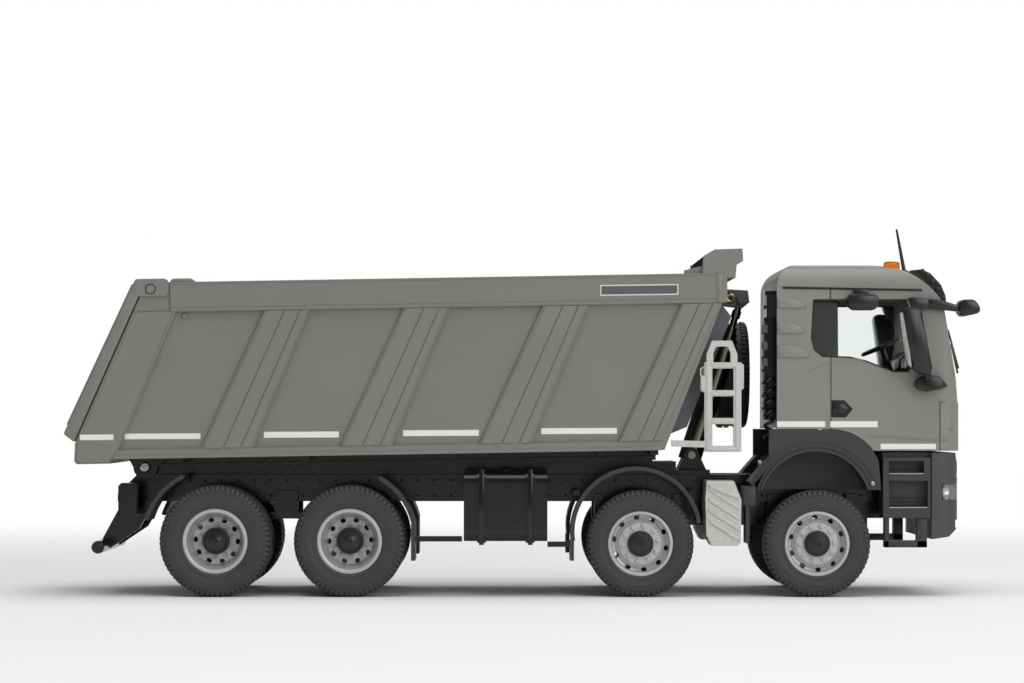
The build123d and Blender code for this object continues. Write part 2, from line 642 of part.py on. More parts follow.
# Tailgate: a thick panel hung from two arms at the top corners
GATE_T = 2.2
with BuildPart() as tailgate:
    gap = SEAT / cos(atan2(REAR_LEAN, 1.0))
    panel = [
        (rear_u(3.6) - gap, 3.6),
        (rear_u(36.5) - gap, 36.5),
        (rear_u(36.5) - gap - GATE_T, 36.5),
        (rear_u(5.3) - gap - GATE_T - 0.7, 5.3),
    ]
    side(panel, BOX_PLANE, HALF_WIDTH, both=True)
    arm = [
        (rear_u(36.5) - gap - 0.3, 36.5),
        (GATE_PIN_U + 2.6, 36.5),
        (GATE_PIN_U + GATE_ARM_R, GATE_PIN_V),
        (GATE_PIN_U + 2.6, GATE_PIN_V - 2.4),
        (rear_u(32.0) - gap - 0.3, 32.0),
    ]
    for start in (-BOX_WALL_Y - SIDE_PLAY, HALF_WIDTH):
        side(arm, BOX_PLANE.offset(-start), HALF_WIDTH - BOX_WALL_Y - SIDE_PLAY)
    with BuildSketch(BOX_PLANE) as pin_holes:
        with Locations((GATE_PIN_U, GATE_PIN_V)):
            Circle(GATE_PIN_R + RUN)
    extrude(pin_holes.sketch, amount=HALF_WIDTH + 1, both=True, mode=Mode.SUBTRACT)
tailgate.part.label = "tailgate"
export_step(tailgate.part, "parts/tailgate.step")

# Telescopic cylinder: a swinging barrel, three sliding tubes and the rod with its eye
CYL_ANGLE = atan2(CYL_HEAD_X - CYL_FOOT_X, CYL_HEAD_Z - CYL_FOOT_Z)
CYL_LENGTH = hypot(CYL_HEAD_X - CYL_FOOT_X, CYL_HEAD_Z - CYL_FOOT_Z)
BARREL_FOOT = 1.2
BARREL_TOP = 24.5
STAGE_RISE = 1.25
STAGE_FOOT = 1.0
STAGE_LIFT = 0.4
EYE_R = 1.5
EYE_HALF = BRACKET_Y - 0.9
CYL_AXIS = Plane(
    origin=(CYL_FOOT_X, 0, CYL_FOOT_Z),
    x_dir=(0, 1, 0),
    z_dir=(sin(CYL_ANGLE), 0, cos(CYL_ANGLE)),
)


def tube(radius, bore, start, end):
    """A tube along the cylinder's axis."""
    with BuildSketch(CYL_AXIS.offset(start)) as ring:
        Circle(radius)
        if bore > 0:
            Circle(bore, mode=Mode.SUBTRACT)
    extrude(ring.sketch, amount=end - start)


with BuildPart() as cylinder_barrel:
    tube(CYL_R, CYL_R - STAGE_STEP + RUN, -BARREL_FOOT, BARREL_TOP)
    tube(CYL_R, 0, -BARREL_FOOT, STAGE_FOOT - 0.3)
    pin_y = CYL_EAR_Y + CYL_EAR_T + 0.2
    rod_across(CYL_FOOT_X, CYL_FOOT_Z, CYL_PIN_R, -pin_y, pin_y)
cylinder_barrel.part.label = "cylinder_barrel"
export_step(cylinder_barrel.part, "parts/cylinder_barrel.step")

for i in range(1, STAGE_COUNT):
    with BuildPart() as stage:
        radius = CYL_R - i * STAGE_STEP
        foot = STAGE_FOOT + (i - 1) * STAGE_LIFT
        tube(radius, radius - STAGE_STEP + RUN, foot, BARREL_TOP + i * STAGE_RISE)
    stage.part.label = f"cylinder_stage_{i}"
    export_step(stage.part, f"parts/cylinder_stage_{i}.step")

with BuildPart() as cylinder_rod:
    rod_r = CYL_R - STAGE_COUNT * STAGE_STEP
    tube(rod_r, 0, STAGE_FOOT + (STAGE_COUNT - 1) * STAGE_LIFT, CYL_LENGTH)
    tube(rod_r + 0.25, 0, CYL_LENGTH - 4.0, CYL_LENGTH - 2.4)
    rod_across(CYL_HEAD_X, CYL_HEAD_Z, EYE_R, -EYE_HALF, EYE_HALF)
cylinder_rod.part.label = "cylinder_rod"
export_step(cylinder_rod.part, "parts/cylinder_rod.step")

# Ladder on the front of the body, right side
LADDER_Y = 1.1 - HALF_WIDTH
LADDER_T = 1.0
LADDER_X = (36.9, 44.4)
LADDER_Z = (29.5, 47.7)
LADDER_RAIL = 1.6
RUNG_H = 1.25
RUNG_COUNT = 4
HOOP_TOP = 52.1
with BuildPart() as ladder:
    face = upright(LADDER_Y + LADDER_T / 2)
    frame_outline = [(LADDER_X[0], LADDER_Z[0]), (LADDER_X[1], LADDER_Z[0])]
    frame_outline += [(LADDER_X[1], LADDER_Z[1]), (LADDER_X[0], LADDER_Z[1])]
    side(frame_outline, face, LADDER_T)
    inner_x = (LADDER_X[0] + LADDER_RAIL, LADDER_X[1] - LADDER_RAIL)
    pitch = (LADDER_Z[1] - LADDER_Z[0] - RUNG_H) / (RUNG_COUNT - 1)
    for i in range(RUNG_COUNT - 1):
        low = LADDER_Z[0] + RUNG_H + i * pitch
        gap = [(inner_x[0], low), (inner_x[1], low), (inner_x[1], low + pitch - RUNG_H)]
        gap.append((inner_x[0], low + pitch - RUNG_H))
        side(gap, face, LADDER_T, mode=Mode.SUBTRACT)
    hoop = [
        (37.3, LADDER_Z[1]),
        (37.3, 49.3),
        (38.4, HOOP_TOP),
        (42.5, HOOP_TOP),
        (43.6, 49.3),
        (43.6, LADDER_Z[1]),
        (42.2, LADDER_Z[1]),
        (42.2, 49.6),
        (41.6, 50.9),
        (39.3, 50.9),
        (38.7, 49.6),
        (38.7, LADDER_Z[1]),
    ]
    side(hoop, face, LADDER_T)
    arm = [(30.2, 30.6), (36.9, 30.4), (36.9, 31.7), (30.2, 31.9)]
    side(arm, face, LADDER_T)
    stay = [(36.0, 45.0), (36.9, 45.0), (36.9, 47.0), (36.0, 46.4)]
    side(stay, face, LADDER_T)
ladder.part.label = "ladder"
export_step(ladder.part, "parts/ladder.step")

# Spare wheel on the front wall's left half, with its carrier
SPARE_Y = CYL_R + SEAT + REAR_TYRE_R
SPARE_Z = 45.6
SPARE_X = 41.3
SPARE_W = FRONT_TYRE_W
SPARE_PLANE = Plane(origin=(SPARE_X, SPARE_Y, SPARE_Z), x_dir=(0, 1, 0), z_dir=(1, 0, 0))


def turned_spare(points):
    """Revolve an outline of (radius, distance forward) about the spare wheel's axis."""
    with BuildSketch(Plane(origin=(SPARE_X, SPARE_Y, SPARE_Z), x_dir=(0, 0, 1), z_dir=(0, 1, 0))) as section:
        with BuildLine():
            Polyline(*points, close=True)
        make_face()
    revolve(section.sketch, axis=Axis((SPARE_X, SPARE_Y, SPARE_Z), (1, 0, 0)), revolution_arc=360)


with BuildPart() as spare_tyre:
    turned_spare(tyre_outline(REAR_TYRE_R, SPARE_W, 0))
spare_tyre.part.label = "spare_tyre"
export_step(spare_tyre.part, "parts/spare_tyre.step")

with BuildPart() as spare_rim:
    turned_spare([(1.2, 2.2), (5.9, 3.0), (5.95, RIM_LIP), (RIM_R, RIM_LIP - 0.1), (RIM_R, RIM_LIP + 0.15),
                  (BEAD_R, RIM_LIP + 0.7), (BEAD_R, SPARE_W - RIM_LIP - 0.7),
                  (RIM_R, SPARE_W - RIM_LIP - 0.15), (RIM_R, SPARE_W - RIM_LIP + 0.1),
                  (5.95, SPARE_W - RIM_LIP), (5.9, 3.8), (1.2, 3.0)])
spare_rim.part.label = "spare_rim"
export_step(spare_rim.part, "parts/spare_rim.step")

with BuildPart() as spare_carrier:
    arm = [
        (front_u(SPARE_Z - BOX_FOOT_Z - 4) + 0.0, SPARE_Z - BOX_FOOT_Z - 4),
        (SPARE_X + 2.0, SPARE_Z - BOX_FOOT_Z - 2.2),
        (SPARE_X + 2.0, SPARE_Z - BOX_FOOT_Z + 0.8),
        (front_u(SPARE_Z - BOX_FOOT_Z + 2), SPARE_Z - BOX_FOOT_Z + 2),
    ]
    side(arm, BOX_PLANE.offset(-SPARE_Y - 1.5), 3.0)
    with BuildSketch(SPARE_PLANE.offset(1.0)) as bolt:
        Circle(1.1)
    extrude(bolt.sketch, amount=4.0)
spare_carrier.part.label = "spare_carrier"
export_step(spare_carrier.part, "parts/spare_carrier.step")

# Fuel tank on the right and its like on the left, with two straps each
TANK_X = (-12.0, 5.0)
TANK_Z = (11.3, 25.6)
TANK_Y = (RAIL_Y + 1.9, HALF_WIDTH - 0.6)
STRAPS_X = (-8.4, 1.5)
STRAP_W = 1.8
STRAP_T = 0.35
with BuildPart() as fuel_tanks:
    for hand in (-1, 1):
        with BuildSketch(Plane.YZ.offset(TANK_X[0])) as section:
            with Locations((hand * (TANK_Y[0] + TANK_Y[1]) / 2, (TANK_Z[0] + TANK_Z[1]) / 2)):
                RectangleRounded(TANK_Y[1] - TANK_Y[0], TANK_Z[1] - TANK_Z[0], 2.4)
        extrude(section.sketch, amount=TANK_X[1] - TANK_X[0])
        for x in STRAPS_X:
            with BuildSketch(Plane.YZ.offset(x - STRAP_W / 2)) as section:
                with Locations((hand * (TANK_Y[0] + TANK_Y[1]) / 2, (TANK_Z[0] + TANK_Z[1]) / 2)):
                    RectangleRounded(
                        TANK_Y[1] - TANK_Y[0] + 2 * STRAP_T,
                        TANK_Z[1] - TANK_Z[0] + 2 * STRAP_T,
                        2.4 + STRAP_T,
                    )
            extrude(section.sketch, amount=STRAP_W)
    for x in STRAPS_X:
        both_sides((x - STRAP_W / 2, x + STRAP_W / 2), (RAIL_Y, TANK_Y[0]), (RAIL_BOTTOM + 0.5, RAIL_TOP - 0.5))
fuel_tanks.part.label = "fuel_tanks"
export_step(fuel_tanks.part, "parts/fuel_tanks.step")

# Silver ribbed side box on the right, a plain box on the left
SILVER_X = (37.4, 44.5)
SILVER_Z = (10.4, 23.6)
SILVER_Y = (RAIL_Y + 3.5, HALF_WIDTH - 0.6)
with BuildPart() as side_boxes:
    silver = [
        (37.4, 23.6),
        (42.9, 23.6),
        (44.4, 19.8),
        (44.3, 11.0),
        (43.6, 10.4),
        (38.4, 10.4),
        (37.3, 12.6),
        (37.1, 20.0),
    ]
    across(silver, SILVER_Y[0], SILVER_Y[1])
    both_sides((39.0, 42.0), (RAIL_Y, SILVER_Y[0]), (RAIL_BOTTOM + 0.4, RAIL_BOTTOM + 3.0))
side_boxes.part.label = "side_boxes"
export_step(side_boxes.part, "parts/side_boxes.step")

# Mudguards: arches over axle 2, quarter arches at the rear pair, and their flaps
GUARD_T = 0.8
GUARD_Y = (HALF_WIDTH - 8.0, HALF_WIDTH - 0.4)
REAR_GUARD_Y = (TWIN_INNER_Y - 0.2, HALF_WIDTH - 0.4)


def arch(x, z, radius, start_deg, end_deg, y_pair):
    """A bent sheet: a ring sector extruded across the tyre on both sides."""
    for hand in (-1, 1):
        high = max(hand * y_pair[0], hand * y_pair[1])
        middle = (start_deg + end_deg) / 2
        corners = []
        for r, angles in ((radius, (start_deg, middle, end_deg)), (radius + GUARD_T, (end_deg, middle, start_deg))):
            corners.append([(x + r * cos(radians(a)), z + r * sin(radians(a))) for a in angles])
        with BuildSketch(upright(high)) as ring:
            with BuildLine():
                ThreePointArc(*corners[0])
                Line(corners[0][2], corners[1][0])
                ThreePointArc(*corners[1])
                Line(corners[1][2], corners[0][0])
            make_face()
        extrude(ring.sketch, amount=y_pair[1] - y_pair[0])


with BuildPart() as mudguards:
    arch(FRONT_AXLES_X[1] - 0.9, FRONT_TYRE_R + 2.35, FRONT_TYRE_R + 1.65, 8.0, 188.0, GUARD_Y)
    arch(REAR_AXLES_X[0] - 0.4, REAR_TYRE_R + 0.85, REAR_TYRE_R + 1.85, 14.0, 62.0, REAR_GUARD_Y)
    arch(REAR_AXLES_X[1], REAR_TYRE_R + 0.05, REAR_TYRE_R + 2.85, 116.0, 163.0, REAR_GUARD_Y)
    both_sides((9.6, 10.4), GUARD_Y, (7.4, 11.4))
    both_sides((-22.7, -21.9), REAR_GUARD_Y, (7.4, 15.6))
    both_sides((44.7, 47.5), (16.0, 22.4), (18.4, 22.5))
    both_sides((45.4, 46.2), (16.0, 22.4), (10.9, 18.4))
    both_sides((10.4, 11.8), (RAIL_Y, GUARD_Y[0] + 1), (20.4, 21.6))
    both_sides((34.2, 35.6), (RAIL_Y, GUARD_Y[0] + 1), (20.4, 21.6))
    both_sides((-29.8, -28.4), (RAIL_Y, REAR_GUARD_Y[0] + 1), (23.2, 24.4))
    both_sides((-70.4, -69.0), (RAIL_Y, REAR_GUARD_Y[0] + 1), (23.0, 24.2))
mudguards.part.label = "mudguards"
export_step(mudguards.part, "parts/mudguards.step")

# Rear underrun bar on two arms, with the lamp brackets
TUBE_X = -86.7
TUBE_Z = 10.0
TUBE_R = 1.3
with BuildPart() as underrun:
    rod_across(TUBE_X, TUBE_Z, TUBE_R, -21.0, 21.0)
    arm = [(-87.2, 11.0), (-82.6, 19.5), (-76.0, 19.5), (-79.4, 13.4), (-85.4, 9.4)]
    across(arm, RAIL_Y + 0.3, RAIL_Y + 1.3)
    both_sides((-82.4, -78.6), (RAIL_Y + 1.3, 18.0), (16.6, 18.0))
    lamp_post = [(-82.6, 22.5), (-82.0, 23.1), (-78.8, 23.1), (-78.8, 16.4), (-82.6, 16.4)]
    across(lamp_post, 16.6, 20.4)
    both_sides((-83.0, -81.0), (RAIL_Y - RAIL_T, RAIL_Y + 1.3), (RAIL_BOTTOM - 0.6, RAIL_BOTTOM))
underrun.part.label = "underrun"
export_step(underrun.part, "parts/underrun.step")

# Side guard rail between the tank and the wheels, right side
with BuildPart() as side_guard:
    block((-21.9, -12.35), (-24.4, -23.4), (11.3, 12.4))
    block((5.0, 9.6), (-24.4, -23.4), (10.2, 11.3))
side_guard.part.label = "side_guard"
export_step(side_guard.part, "parts/side_guard.step")

# Cab: a hollow shell. Its form is where a side outline, a plan outline and a front
# outline meet, each moved in by t for the inner face.
CAB_Y = HALF_WIDTH - 2.6
CAB_T = 1.0
CAB_REAR = 51.6
CAB_ROOF = 68.3
CAB_FRONT = 88.8
CROWN = 1.2
CAB_FOOT = 29.7


def cab_form(t):
    """The cab's closed form, with every face moved in by t."""
    with BuildPart() as form:
        with BuildSketch(upright(CAB_Y)):
            with BuildLine():
                Line((CAB_REAR + t, CAB_FOOT + t), (CAB_REAR + 1.2 + t, 63.2))
                ThreePointArc((CAB_REAR + 1.2 + t, 63.2), (54.1 + t * 0.7, 66.6 - t * 0.7), (57.8, CAB_ROOF - 0.3 - t))
                Line((57.8, CAB_ROOF - 0.3 - t), (73.4, CAB_ROOF - 0.3 - t))
                ThreePointArc(
                    (73.4, CAB_ROOF - 0.3 - t),
                    (82.0 - t * 0.5, 65.9 - t * 0.85),
                    (86.2 - t, 60.0),
                )
                Line((86.2 - t, 60.0), (87.5 - t, 52.3))
                Line((87.5 - t, 52.3), (89.1 - t, 44.2))
                Line((89.1 - t, 44.2), (CAB_FRONT + CROWN - t, 36.5))
                Line((CAB_FRONT + CROWN - t, 36.5), (CAB_FRONT + CROWN - t, CAB_FOOT + t))
                Line((CAB_FRONT + CROWN - t, CAB_FOOT + t), (CAB_REAR + t, CAB_FOOT + t))
            make_face()
        extrude(amount=2 * CAB_Y)
        with BuildSketch(Plane.XY.offset(CAB_FOOT)):
            with BuildLine():
                Line((CAB_REAR + t, -CAB_Y + t), (CAB_FRONT - 4.4, -CAB_Y + t))
                ThreePointArc(
                    (CAB_FRONT - 4.4, -CAB_Y + t),
                    (CAB_FRONT - 1.1 - t * 0.7, -CAB_Y + 1.5 + t * 0.7),
                    (CAB_FRONT - t, -CAB_Y + 5.4),
                )
                ThreePointArc(
                    (CAB_FRONT - t, -CAB_Y + 5.4),
                    (CAB_FRONT + CROWN - t, 0),
                    (CAB_FRONT - t, CAB_Y - 5.4),
                )
                ThreePointArc(
                    (CAB_FRONT - t, CAB_Y - 5.4),
                    (CAB_FRONT - 1.1 - t * 0.7, CAB_Y - 1.5 - t * 0.7),
                    (CAB_FRONT - 4.4, CAB_Y - t),
                )
                Line((CAB_FRONT - 4.4, CAB_Y - t), (CAB_REAR + t, CAB_Y - t))
                Line((CAB_REAR + t, CAB_Y - t), (CAB_REAR + t, -CAB_Y + t))
            make_face()
        extrude(amount=CAB_ROOF - CAB_FOOT, mode=Mode.INTERSECT)
        with BuildSketch(Plane.YZ.offset(CAB_REAR)):
            with BuildLine():
                Line((CAB_Y - t, CAB_FOOT), (CAB_Y - t, 47.0))
                Line((CAB_Y - t, 47.0), (CAB_Y - 1.0 - t, 63.5))
                ThreePointArc((CAB_Y - 1.0 - t, 63.5), (20.3 - t * 0.7, 66.1 - t * 0.7), (17.6, 67.3 - t))
                ThreePointArc((17.6, 67.3 - t), (0, CAB_ROOF - t), (-17.6, 67.3 - t))
                ThreePointArc((-17.6, 67.3 - t), (-20.3 + t * 0.7, 66.1 - t * 0.7), (-CAB_Y + 1.0 + t, 63.5))
                Line((-CAB_Y + 1.0 + t, 63.5), (-CAB_Y + t, 47.0))
                Line((-CAB_Y + t, 47.0), (-CAB_Y + t, CAB_FOOT))
                Line((-CAB_Y + t, CAB_FOOT), (CAB_Y - t, CAB_FOOT))
            make_face()
        extrude(amount=CAB_FRONT - CAB_REAR + 4, mode=Mode.INTERSECT)
    return form


SIDE_WINDOW = [
    (59.2, 60.4),
    (58.6, 51.8),
    (60.8, 48.9),
    (67.1, 48.5),
    (69.7, 47.8),
    (75.4, 45.7),
    (78.9, 46.0),
    (80.6, 51.3),
    (80.0, 60.4),
]
SCREEN = [(-19.4, 46.2), (19.4, 46.2), (18.6, 62.4), (-18.6, 62.4)]
CAB_ARCH_X = 59.55
CAB_ARCH_Z = 18.4
CAB_ARCH_R = 11.2
WELL_TOP = CAB_SILL + 0.9


def window_holes(grow):
    """The window openings as prisms, grown by a margin."""
    with BuildPart() as holes:
        with BuildSketch(upright(CAB_Y + 2)) as door_glass:
            with BuildLine():
                Polyline(*SIDE_WINDOW, close=True)
            make_face()
            if grow > 0:
                offset(amount=grow)
        extrude(door_glass.sketch, amount=2 * CAB_Y + 4)
        with BuildSketch(Plane.YZ.offset(CAB_FRONT - 5.5)) as screen:
            with BuildLine():
                Polyline(*SCREEN, close=True)
            make_face()
            if grow > 0:
                offset(amount=grow)
        extrude(screen.sketch, amount=10)
    return holes


cab_outer = cab_form(0.0)
cab_inner = cab_form(CAB_T)
with BuildPart() as cab_shell:
    add(cab_outer.part)
    add(cab_inner.part, mode=Mode.SUBTRACT)
    add(window_holes(0).part, mode=Mode.SUBTRACT)
    # Room for the wheel and the black arch under the sill, and the floor pan above it
    block((CAB_REAR - 1, 72.8), (-CAB_Y - 1, CAB_Y + 1), (CAB_FOOT - 1, CAB_SILL), mode=Mode.SUBTRACT)
    block((72.7, CAB_FRONT - 3.0), (-CAB_Y + CAB_T, CAB_Y - CAB_T), (CAB_FOOT - 1, CAB_SILL), mode=Mode.SUBTRACT)
    block((CAB_REAR + 0.4, CAB_FRONT - 1.6), (-CAB_Y + 0.5, CAB_Y - 0.5), (CAB_SILL, WELL_TOP))
cab_shell.part.label = "cab_shell"
export_step(cab_shell.part, "parts/cab_shell.step")

GLASS_T = 0.5
glass_outer = cab_form(CAB_T + 0.05)
glass_inner = cab_form(CAB_T + 0.05 + GLASS_T)
glass_zone = window_holes(0.6)
with BuildPart() as cab_glass:
    add(glass_outer.part)
    add(glass_inner.part, mode=Mode.SUBTRACT)
    add(glass_zone.part, mode=Mode.INTERSECT)
cab_glass.part.label = "cab_glass"
export_step(cab_glass.part, "parts/cab_glass.step")

# Interior: dashboard, two seats on their boxes, and the rear bench
SEAT_Y = 10.5
with BuildPart() as cab_interior:
    dash = [(80.4, WELL_TOP), (85.4, WELL_TOP), (85.6, 45.6), (83.4, 46.4), (80.2, 44.0)]
    side(dash, upright(19.0), 38.0)
    for hand in (-1, 1):
        y_pair = sorted((hand * (SEAT_Y - 4.2), hand * (SEAT_Y + 4.2)))
        seat = [
            (59.5, WELL_TOP),
            (70.5, WELL_TOP),
            (71.5, 41.0),
            (64.0, 41.6),
            (61.4, 55.0),
            (58.6, 55.0),
            (59.0, 41.0),
        ]
        side(seat, upright(y_pair[1]), 8.4)
cab_interior.part.label = "cab_interior"
export_step(cab_interior.part, "parts/cab_interior.step")

# Steering wheel and column, on the left
STEER_Y = 10.5
STEER_R = 4.0
STEER_RIM = 0.35
STEER_AXIS = Plane(origin=(76.9, STEER_Y, 47.9), x_dir=(0, 1, 0), z_dir=(-0.5, 0, 0.866))
with BuildPart() as steering_wheel:
    with BuildSketch(Plane(origin=STEER_AXIS.origin, x_dir=(0, 1, 0), z_dir=(0.866, 0, 0.5))) as section:
        with Locations((STEER_R, 0)):
            Circle(STEER_RIM)
    revolve(section.sketch, axis=Axis(STEER_AXIS.origin, STEER_AXIS.z_dir), revolution_arc=360)
    with BuildSketch(STEER_AXIS.offset(-0.3)) as spokes:
        Circle(0.9)
        Rectangle(2 * STEER_R, 0.6)
        with Locations((0, STEER_R / 2)):
            Rectangle(0.6, STEER_R)
    extrude(spokes.sketch, amount=0.5)
    with BuildSketch(STEER_AXIS) as column:
        Circle(0.5)
    extrude(column.sketch, amount=-4.6)
steering_wheel.part.label = "steering_wheel"
export_step(steering_wheel.part, "parts/steering_wheel.step")

# Black wheel arches under the cab with their inner liners
with BuildPart() as wheel_arches:
    for hand in (-1, 1):
        y_skin = sorted((hand * (CAB_Y - 1.2), hand * CAB_Y))
        skin = [
            (50.2, 28.4),
            (50.2, 34.2),
            (62.6, 34.2),
            (66.7, 33.4),
            (68.7, 32.4),
            (70.8, 31.1),
            (72.4, 29.4),
            (73.0, 21.7),
            (52.0, 18.4),
        ]
        side(skin, upright(y_skin[1]), 1.2)
        y_roof = sorted((hand * 14.0, hand * CAB_Y))
        with BuildSketch(upright(y_roof[1])) as roof:
            with Locations((CAB_ARCH_X, CAB_ARCH_Z)):
                Circle(CAB_ARCH_R + 1.0)
            with Locations((CAB_ARCH_X, CAB_ARCH_Z - 9.0)):
                Rectangle(40, 24, mode=Mode.SUBTRACT)
        extrude(roof.sketch, amount=CAB_Y - 14.0)
        side([(46.0, 23.4), (50.4, 28.4), (51.2, 27.6), (46.8, 22.6)], upright(y_roof[1]), CAB_Y - 14.0)
    rod_across(CAB_ARCH_X, CAB_ARCH_Z, CAB_ARCH_R, -CAB_Y - 1, CAB_Y + 1, mode=Mode.SUBTRACT)
    block((40, 73.2), (-CAB_Y - 1, CAB_Y + 1), (10, 21.7), mode=Mode.SUBTRACT)
wheel_arches.part.label = "wheel_arches"
export_step(wheel_arches.part, "parts/wheel_arches.step")

# Step boxes behind the bumper and the hanging lowest step
STEP_X = (73.4, 83.1)
with BuildPart() as cab_steps:
    both_sides(STEP_X, (14.5, CAB_Y), (16.0, 29.5))
    both_sides((STEP_X[0] + 1.2, STEP_X[1] - 0.6), (CAB_Y - 2.6, CAB_Y + 1), (24.9, 28.0), mode=Mode.SUBTRACT)
    both_sides((STEP_X[0] + 1.2, STEP_X[1] - 0.6), (CAB_Y - 2.6, CAB_Y + 1), (18.3, 23.6), mode=Mode.SUBTRACT)
    both_sides((73.7, 74.7), (CAB_Y - 3.0, CAB_Y - 0.4), (10.0, 16.0))
    both_sides((80.3, 82.4), (CAB_Y - 3.0, CAB_Y - 0.4), (10.0, 16.0))
    both_sides((73.7, 82.4), (CAB_Y - 3.0, CAB_Y - 0.4), (10.0, 12.0))
cab_steps.part.label = "cab_steps"
export_step(cab_steps.part, "parts/cab_steps.step")

# Bumper with rounded ends
BUMPER_Z = (11.7, 29.4)
with BuildPart() as bumper:
    profile = [
        (83.3, BUMPER_Z[0]),
        (88.3, 12.4),
        (89.2, 13.8),
        (89.6, 17.2),
        (89.2, 19.7),
        (89.6, 23.1),
        (88.9, 24.6),
        (89.1, 26.8),
        (88.7, BUMPER_Z[1]),
        (83.3, BUMPER_Z[1]),
    ]
    side(profile, upright(CAB_Y + 0.1), 2 * CAB_Y + 0.2)
    with BuildSketch(Plane.XY) as plan:
        with BuildLine():
            Line((80, -CAB_Y - 0.1), (85.2, -CAB_Y - 0.1))
            ThreePointArc((85.2, -CAB_Y - 0.1), (88.0, -CAB_Y + 1.3), (88.9, -CAB_Y + 4.4))
            ThreePointArc((88.9, -CAB_Y + 4.4), (90.0, 0), (88.9, CAB_Y - 4.4))
            ThreePointArc((88.9, CAB_Y - 4.4), (88.0, CAB_Y - 1.3), (85.2, CAB_Y + 0.1))
            Line((85.2, CAB_Y + 0.1), (80, CAB_Y + 0.1))
            Line((80, CAB_Y + 0.1), (80, -CAB_Y - 0.1))
        make_face()
    extrude(plan.sketch, amount=40, mode=Mode.INTERSECT)
bumper.part.label = "bumper"
export_step(bumper.part, "parts/bumper.step")

# Visor over the windscreen
with BuildPart() as sun_visor:
    blade = [(79.6, 67.6), (82.6, 68.0), (84.9, 65.9), (87.6, 61.0), (86.6, 60.8), (84.2, 65.0), (82.2, 67.1)]
    side(blade, upright(CAB_Y - 2.4), 2 * CAB_Y - 4.8)
    add(cab_outer.part, mode=Mode.SUBTRACT)
sun_visor.part.label = "sun_visor"
export_step(sun_visor.part, "parts/sun_visor.step")

# Mirrors: main mirrors on their arms, kerb mirror on the right, front mirror on its arm
with BuildPart() as mirrors:
    both_sides((81.2, 84.3), (CAB_Y + 1.6, CAB_Y + 5.6), (46.0, 58.0))
    both_sides((83.0, 84.2), (CAB_Y - 0.6, CAB_Y + 2.6), (56.0, 57.2))
    both_sides((83.2, 86.0), (CAB_Y - 0.6, CAB_Y + 2.6), (43.0, 44.4))
    both_sides((83.6, 84.2), (CAB_Y + 1.6, CAB_Y + 2.6), (43.0, 46.0))
    block((66.0, 72.2), (-CAB_Y - 3.2, -CAB_Y + 1.0), (58.6, 61.2))
    block((80.0, 90.0), (-CAB_Y - 1.2, -CAB_Y + 1.3), (60.4, 61.4))
    block((88.5, 93.3), (-CAB_Y - 1.6, -CAB_Y + 5.0), (57.0, 60.6))
    add(cab_outer.part, mode=Mode.SUBTRACT)
mirrors.part.label = "mirrors"
export_step(mirrors.part, "parts/mirrors.step")

# Beacons and antenna on the roof
BEACON_X = 75.6
BEACON_Y = 13.0
with BuildPart() as beacons:
    for hand in (-1, 1):
        with BuildSketch(Plane.XY.offset(66.0)):
            with Locations((BEACON_X, hand * BEACON_Y)):
                Circle(1.65)
        extrude(amount=3.2)
    add(cab_outer.part, mode=Mode.SUBTRACT)
beacons.part.label = "beacons"
export_step(beacons.part, "parts/beacons.step")

ANTENNA_FOOT = (78.6, -12.0, 66.4)
ANTENNA_TIP = (76.0, -12.0, 75.2)
with BuildPart() as antenna:
    rise = Vector(*ANTENNA_TIP) - Vector(*ANTENNA_FOOT)
    foot = Plane(origin=ANTENNA_FOOT, z_dir=rise.normalized())
    with BuildSketch(foot):
        Circle(0.42)
    with BuildSketch(foot.offset(rise.length)):
        Circle(0.24)
    loft()
    add(cab_outer.part, mode=Mode.SUBTRACT)
antenna.part.label = "antenna"
export_step(antenna.part, "parts/antenna.step")
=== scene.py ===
# %% [markdown]
# A four-axle tipper truck, a die-cast scale model about 187 mm long
#
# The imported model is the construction: every piece at its real size, on its own body.
# This notebook gives it the looks of the model on a photographer's table: sprayed enamel
# on zinc, satin plastic mouldings, soft tyres, clear windows and printed stripes.
# The frame's pieces come in where they stand, in metres, and are never moved.

from math import atan2, copysign, cos, pi, radians, sin

import bmesh
import bpy
from mathutils import Matrix, Vector


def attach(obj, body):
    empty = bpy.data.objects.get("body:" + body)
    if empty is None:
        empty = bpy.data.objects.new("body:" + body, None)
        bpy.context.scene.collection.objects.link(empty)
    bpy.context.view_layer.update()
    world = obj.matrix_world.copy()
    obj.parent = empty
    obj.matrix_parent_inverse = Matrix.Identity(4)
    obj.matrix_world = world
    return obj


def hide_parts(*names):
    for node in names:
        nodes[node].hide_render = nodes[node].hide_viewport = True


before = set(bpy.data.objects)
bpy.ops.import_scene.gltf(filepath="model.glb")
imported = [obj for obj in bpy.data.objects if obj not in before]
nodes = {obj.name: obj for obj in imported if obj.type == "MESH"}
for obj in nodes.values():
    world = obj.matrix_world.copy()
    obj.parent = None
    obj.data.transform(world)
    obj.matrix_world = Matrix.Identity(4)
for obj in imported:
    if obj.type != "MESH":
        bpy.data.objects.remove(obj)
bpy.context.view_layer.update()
MM = 0.001
print("pieces in the frame:", len(nodes))

# %% [markdown]
# The camera comes first, because every later choice is judged through it.
#
# The photograph looks straight at the truck's right side, from about 0.7 m away and just
# above the height of the frame rails. A level camera keeps all uprights upright. What the
# picture needs above and beside the optical axis is taken with the lens shift, as a
# photographer does with a shift lens.

# %% Camera
PHOTO_W, PHOTO_H = 1024, 683
CAMERA_AT = Vector((-5.85, -725, 37)) * MM
FOCAL_PX = 3450
AXIS_PX = (494, 415)
SENSOR_MM = 36

